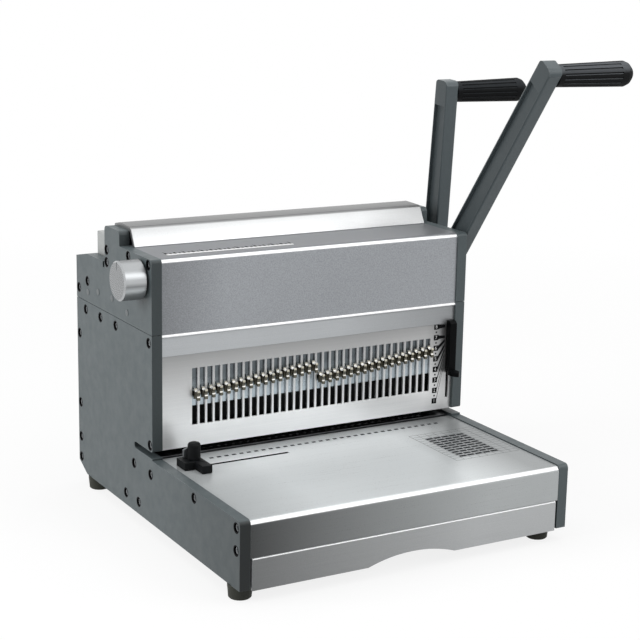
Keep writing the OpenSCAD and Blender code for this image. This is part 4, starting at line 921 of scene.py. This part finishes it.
# a closed shape through rings about X, of which some are hexagons
def ringMesh(name, rings, sides):
    build = bmesh.new()
    rows = []
    for radius, depth, six in rings:
        row = []
        for k in range(sides):
            turn = 2 * math.pi * k / sides
            reach = radius * mm
            if six:
                reach *= math.cos(math.pi / 6) / math.cos(turn % (math.pi / 3) - math.pi / 6)
            row.append(build.verts.new((-depth * mm, reach * math.cos(turn), reach * math.sin(turn))))
        rows.append(row)
    for first, second in zip(rows, rows[1:]):
        for k in range(sides):
            build.faces.new((first[k], first[(k + 1) % sides], second[(k + 1) % sides], second[k]))
    build.faces.new(rows[-1])
    build.faces.new(list(reversed(rows[0])))
    bmesh.ops.recalc_face_normals(build, faces=build.faces)
    return meshOf(build, name)


def screwsTree():
    tree, sockets, given = nodeTree("socketScrews", {"Screw": "Object", "Finish": "Material"})
    side = addNode(tree, "GeometryNodeInputNamedAttribute", {"Name": "turn"}, data_type="FLOAT")
    spin = addNode(tree, "ShaderNodeCombineXYZ", {"Z": side.outputs["Attribute"]})
    shape = addNode(tree, "GeometryNodeObjectInfo", {"Object": given["Screw"]})
    copied(tree, given, given["Geometry"], shape.outputs["Geometry"], Rotation=spin.outputs[0])
    return tree, sockets


# the box of each loose part of a solid
def partsOf(name):
    build = bmesh.new()
    build.from_mesh(nodes[name].data)
    bmesh.ops.remove_doubles(build, verts=build.verts, dist=edgeSettings["weld"] * mm)
    seen, boxes = set(), []
    for vert in build.verts:
        if vert.index in seen:
            continue
        seen.add(vert.index)
        queue, points = [vert], []
        while queue:
            here = queue.pop()
            points.append(here.co.copy())
            for edge in here.link_edges:
                other = edge.other_vert(here)
                if other.index not in seen:
                    seen.add(other.index)
                    queue.append(other)
        boxes.append((Vector([min(p[k] for p in points) for k in range(3)]),
                      Vector([max(p[k] for p in points) for k in range(3)])))
    build.free()
    return boxes


def makeScrews(screw):
    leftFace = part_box("left_lower_plate")[0].x
    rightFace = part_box("right_lower_plate")[1].x
    places, turns = [], []
    for low, high in partsOf("plate_screws"):
        right = (low.x + high.x) / 2 > middleX
        places.append((rightFace if right else leftFace, (low.y + high.y) / 2, (low.z + high.z) / 2))
        turns.append(0.0 if right else math.pi)
    tree, sockets = screwsTree()
    head = [(*ring, False) for ring in screw["head"]] + [(*ring, True) for ring in screw["socket"]]
    boreShade = [(*ring, False) for ring in screw["boreShade"]]
    for name, rings, look in (("socketScrews", head, "headSteel"), ("screwCups", boreShade, "oxideBlack")):
        points = bpy.data.meshes.new(name + "Places")
        points.from_pydata(places, [], [])
        points.attributes.new("turn", "FLOAT", "POINT").data.foreach_set("value", turns)
        seed = addObject(name + "Shape", ringMesh(name + "Shape", rings, screw["sides"]))
        piece = grow(name, tree, sockets, {"Screw": seed, "Finish": finish[look]}, points)
        bpy.data.objects.remove(seed)
        hang(piece, "frame")
    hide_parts("plate_screws")
    print("screws:", len(places))


makeScrews(screwSettings)

# return springs: two coils round the guide posts, which the press bar shuts; steps: points in one turn
springSettings = {"wire": 2.2, "turns": 6, "steps": 24, "sides": 10, "stroke": 25.4}


def springsTree():
    tree, sockets, given = nodeTree("returnCoils", {
        "Turns": "Float", "Steps": "Int", "Radius": "Float", "Height": "Float", "Wire": "Float",
        "Sides": "Int", "Finish": "Material"})
    coil = addNode(tree, "GeometryNodeCurveSpiral", {
        "Rotations": given["Turns"], "Resolution": given["Steps"], "Start Radius": given["Radius"],
        "End Radius": given["Radius"], "Height": given["Height"]})
    wire = addNode(tree, "GeometryNodeCurvePrimitiveCircle", {
        "Resolution": given["Sides"], "Radius": given["Wire"]})
    body = addNode(tree, "GeometryNodeCurveToMesh", {
        "Curve": coil.outputs[0], "Profile Curve": wire.outputs[0], "Fill Caps": True})
    copied(tree, given, given["Geometry"], body.outputs[0])
    return tree, sockets


def makeSprings(spring):
    low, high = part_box("return_springs")
    outer = (high.y - low.y) / 2
    half = spring["wire"] / 2 * mm
    points = bpy.data.meshes.new("springPlaces")
    points.from_pydata([(x, low.y + outer, low.z + half) for x in (low.x + outer, high.x - outer)], [], [])
    tree, sockets = springsTree()
    tall = high.z - low.z
    piece = grow("returnCoils", tree, sockets, {
        "Turns": float(spring["turns"]), "Steps": spring["steps"], "Radius": outer - half,
        "Height": tall - 2 * half, "Wire": half, "Sides": spring["sides"],
        "Finish": finish["groundSteel"]}, points)
    hang(piece, "frame")
    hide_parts("return_springs")
    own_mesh(piece)
    print("springs:", len(piece.data.polygons), "faces, free length", round(tall / mm, 2))


makeSprings(springSettings)

# stage: pale floor, white surroundings for camera and reflections, soft lamps; near: how far the floor is
# washed out under the part, which grows from one distance on until the floor is clear at the other
stageSettings = {
    "side": 30, "floor": 0.62, "seen": 0.98, "ambient": 0.26, "near": 0.84, "grows": 0.3, "clear": 1.6,
}
white = (1, 1, 1, 1)


# 1 for rays that see the surroundings as white, 0 for those that light the part
def behindWhite(tree):
    path = addNode(tree, "ShaderNodeLightPath")
    seen = joined(tree, path.outputs["Is Camera Ray"], path.outputs["Is Glossy Ray"], "MAXIMUM")
    return joined(tree, seen, path.outputs["Is Transmission Ray"], "MAXIMUM")


def makeWorld(stage):
    world = bpy.data.worlds.new("paleRoom")
    scene.world = world
    tree = emptyTree(world)
    room = addNode(tree, "ShaderNodeBackground", {"Color": white, "Strength": stage["ambient"]})
    bright = addNode(tree, "ShaderNodeBackground", {"Color": white, "Strength": 1})
    mix = addNode(tree, "ShaderNodeMixShader", {
        0: behindWhite(tree), 1: room.outputs[0], 2: bright.outputs[0]})
    addNode(tree, "ShaderNodeOutputWorld", {"Surface": mix.outputs[0]})


def makeFloor(stage):
    mesh = bpy.data.meshes.new("floor")
    side = stage["side"]
    corners = [(-side, -side, 0), (side, -side, 0), (side, side, 0), (-side, side, 0)]
    mesh.from_pydata(corners, [], [(0, 1, 2, 3)])
    floor = addObject("floor", mesh)
    material = bpy.data.materials.new("paleFloor")
    tree = emptyTree(material)
    path = addNode(tree, "ShaderNodeLightPath")
    pale = tint(tree, path.outputs["Is Camera Ray"], [stage["floor"]] * 3, [stage["seen"]] * 3)
    matt = addNode(tree, "ShaderNodeBsdfDiffuse", {"Color": pale})
    glow = addNode(tree, "ShaderNodeEmission", {"Color": white, "Strength": 1})
    coord = addNode(tree, "ShaderNodeTexCoord")
    far = addNode(tree, "ShaderNodeVectorMath", {0: coord.outputs["Object"]}, operation="LENGTH")
    fade = spread(tree, far.outputs["Value"], stage["near"], 1, stage["grows"], stage["clear"])
    glowing = joined(tree, fade, behindWhite(tree), "MULTIPLY")
    mix = addNode(tree, "ShaderNodeMixShader", {0: glowing, 1: matt.outputs[0], 2: glow.outputs[0]})
    addNode(tree, "ShaderNodeOutputMaterial", {"Surface": mix.outputs[0]})
    mesh.materials.append(material)


# a lamp that isn't mirrored lights the part but isn't seen in it
lampSettings = {
    "leftSoft": {"place": (-2.3, 0.25, 1.0), "size": (1.3, 1.3), "power": 34, "mirrored": False},
    "topSoft": {"place": (0.0, 0.1, 2.2), "size": (3.4, 2.8), "power": 33, "mirrored": True},
    "frontSoft": {"place": (1.10, -1.48, 1.50), "size": (1.6, 1.2), "power": 15, "mirrored": True},
}
lampAim = Vector((0, 0, 0.18))


def makeLamp(name, settings):
    data = bpy.data.lights.new(name, "AREA")
    data.shape = "RECTANGLE"
    data.size, data.size_y = settings["size"]
    data.energy = settings["power"]
    lamp = addObject(name, data)
    lamp.location = settings["place"]
    lamp.rotation_euler = (lampAim - Vector(settings["place"])).to_track_quat("-Z", "Y").to_euler()
    lamp.visible_glossy = settings["mirrored"]


makeWorld(stageSettings)
makeFloor(stageSettings)
for name, settings in lampSettings.items():
    makeLamp(name, settings)
print("stage lit")
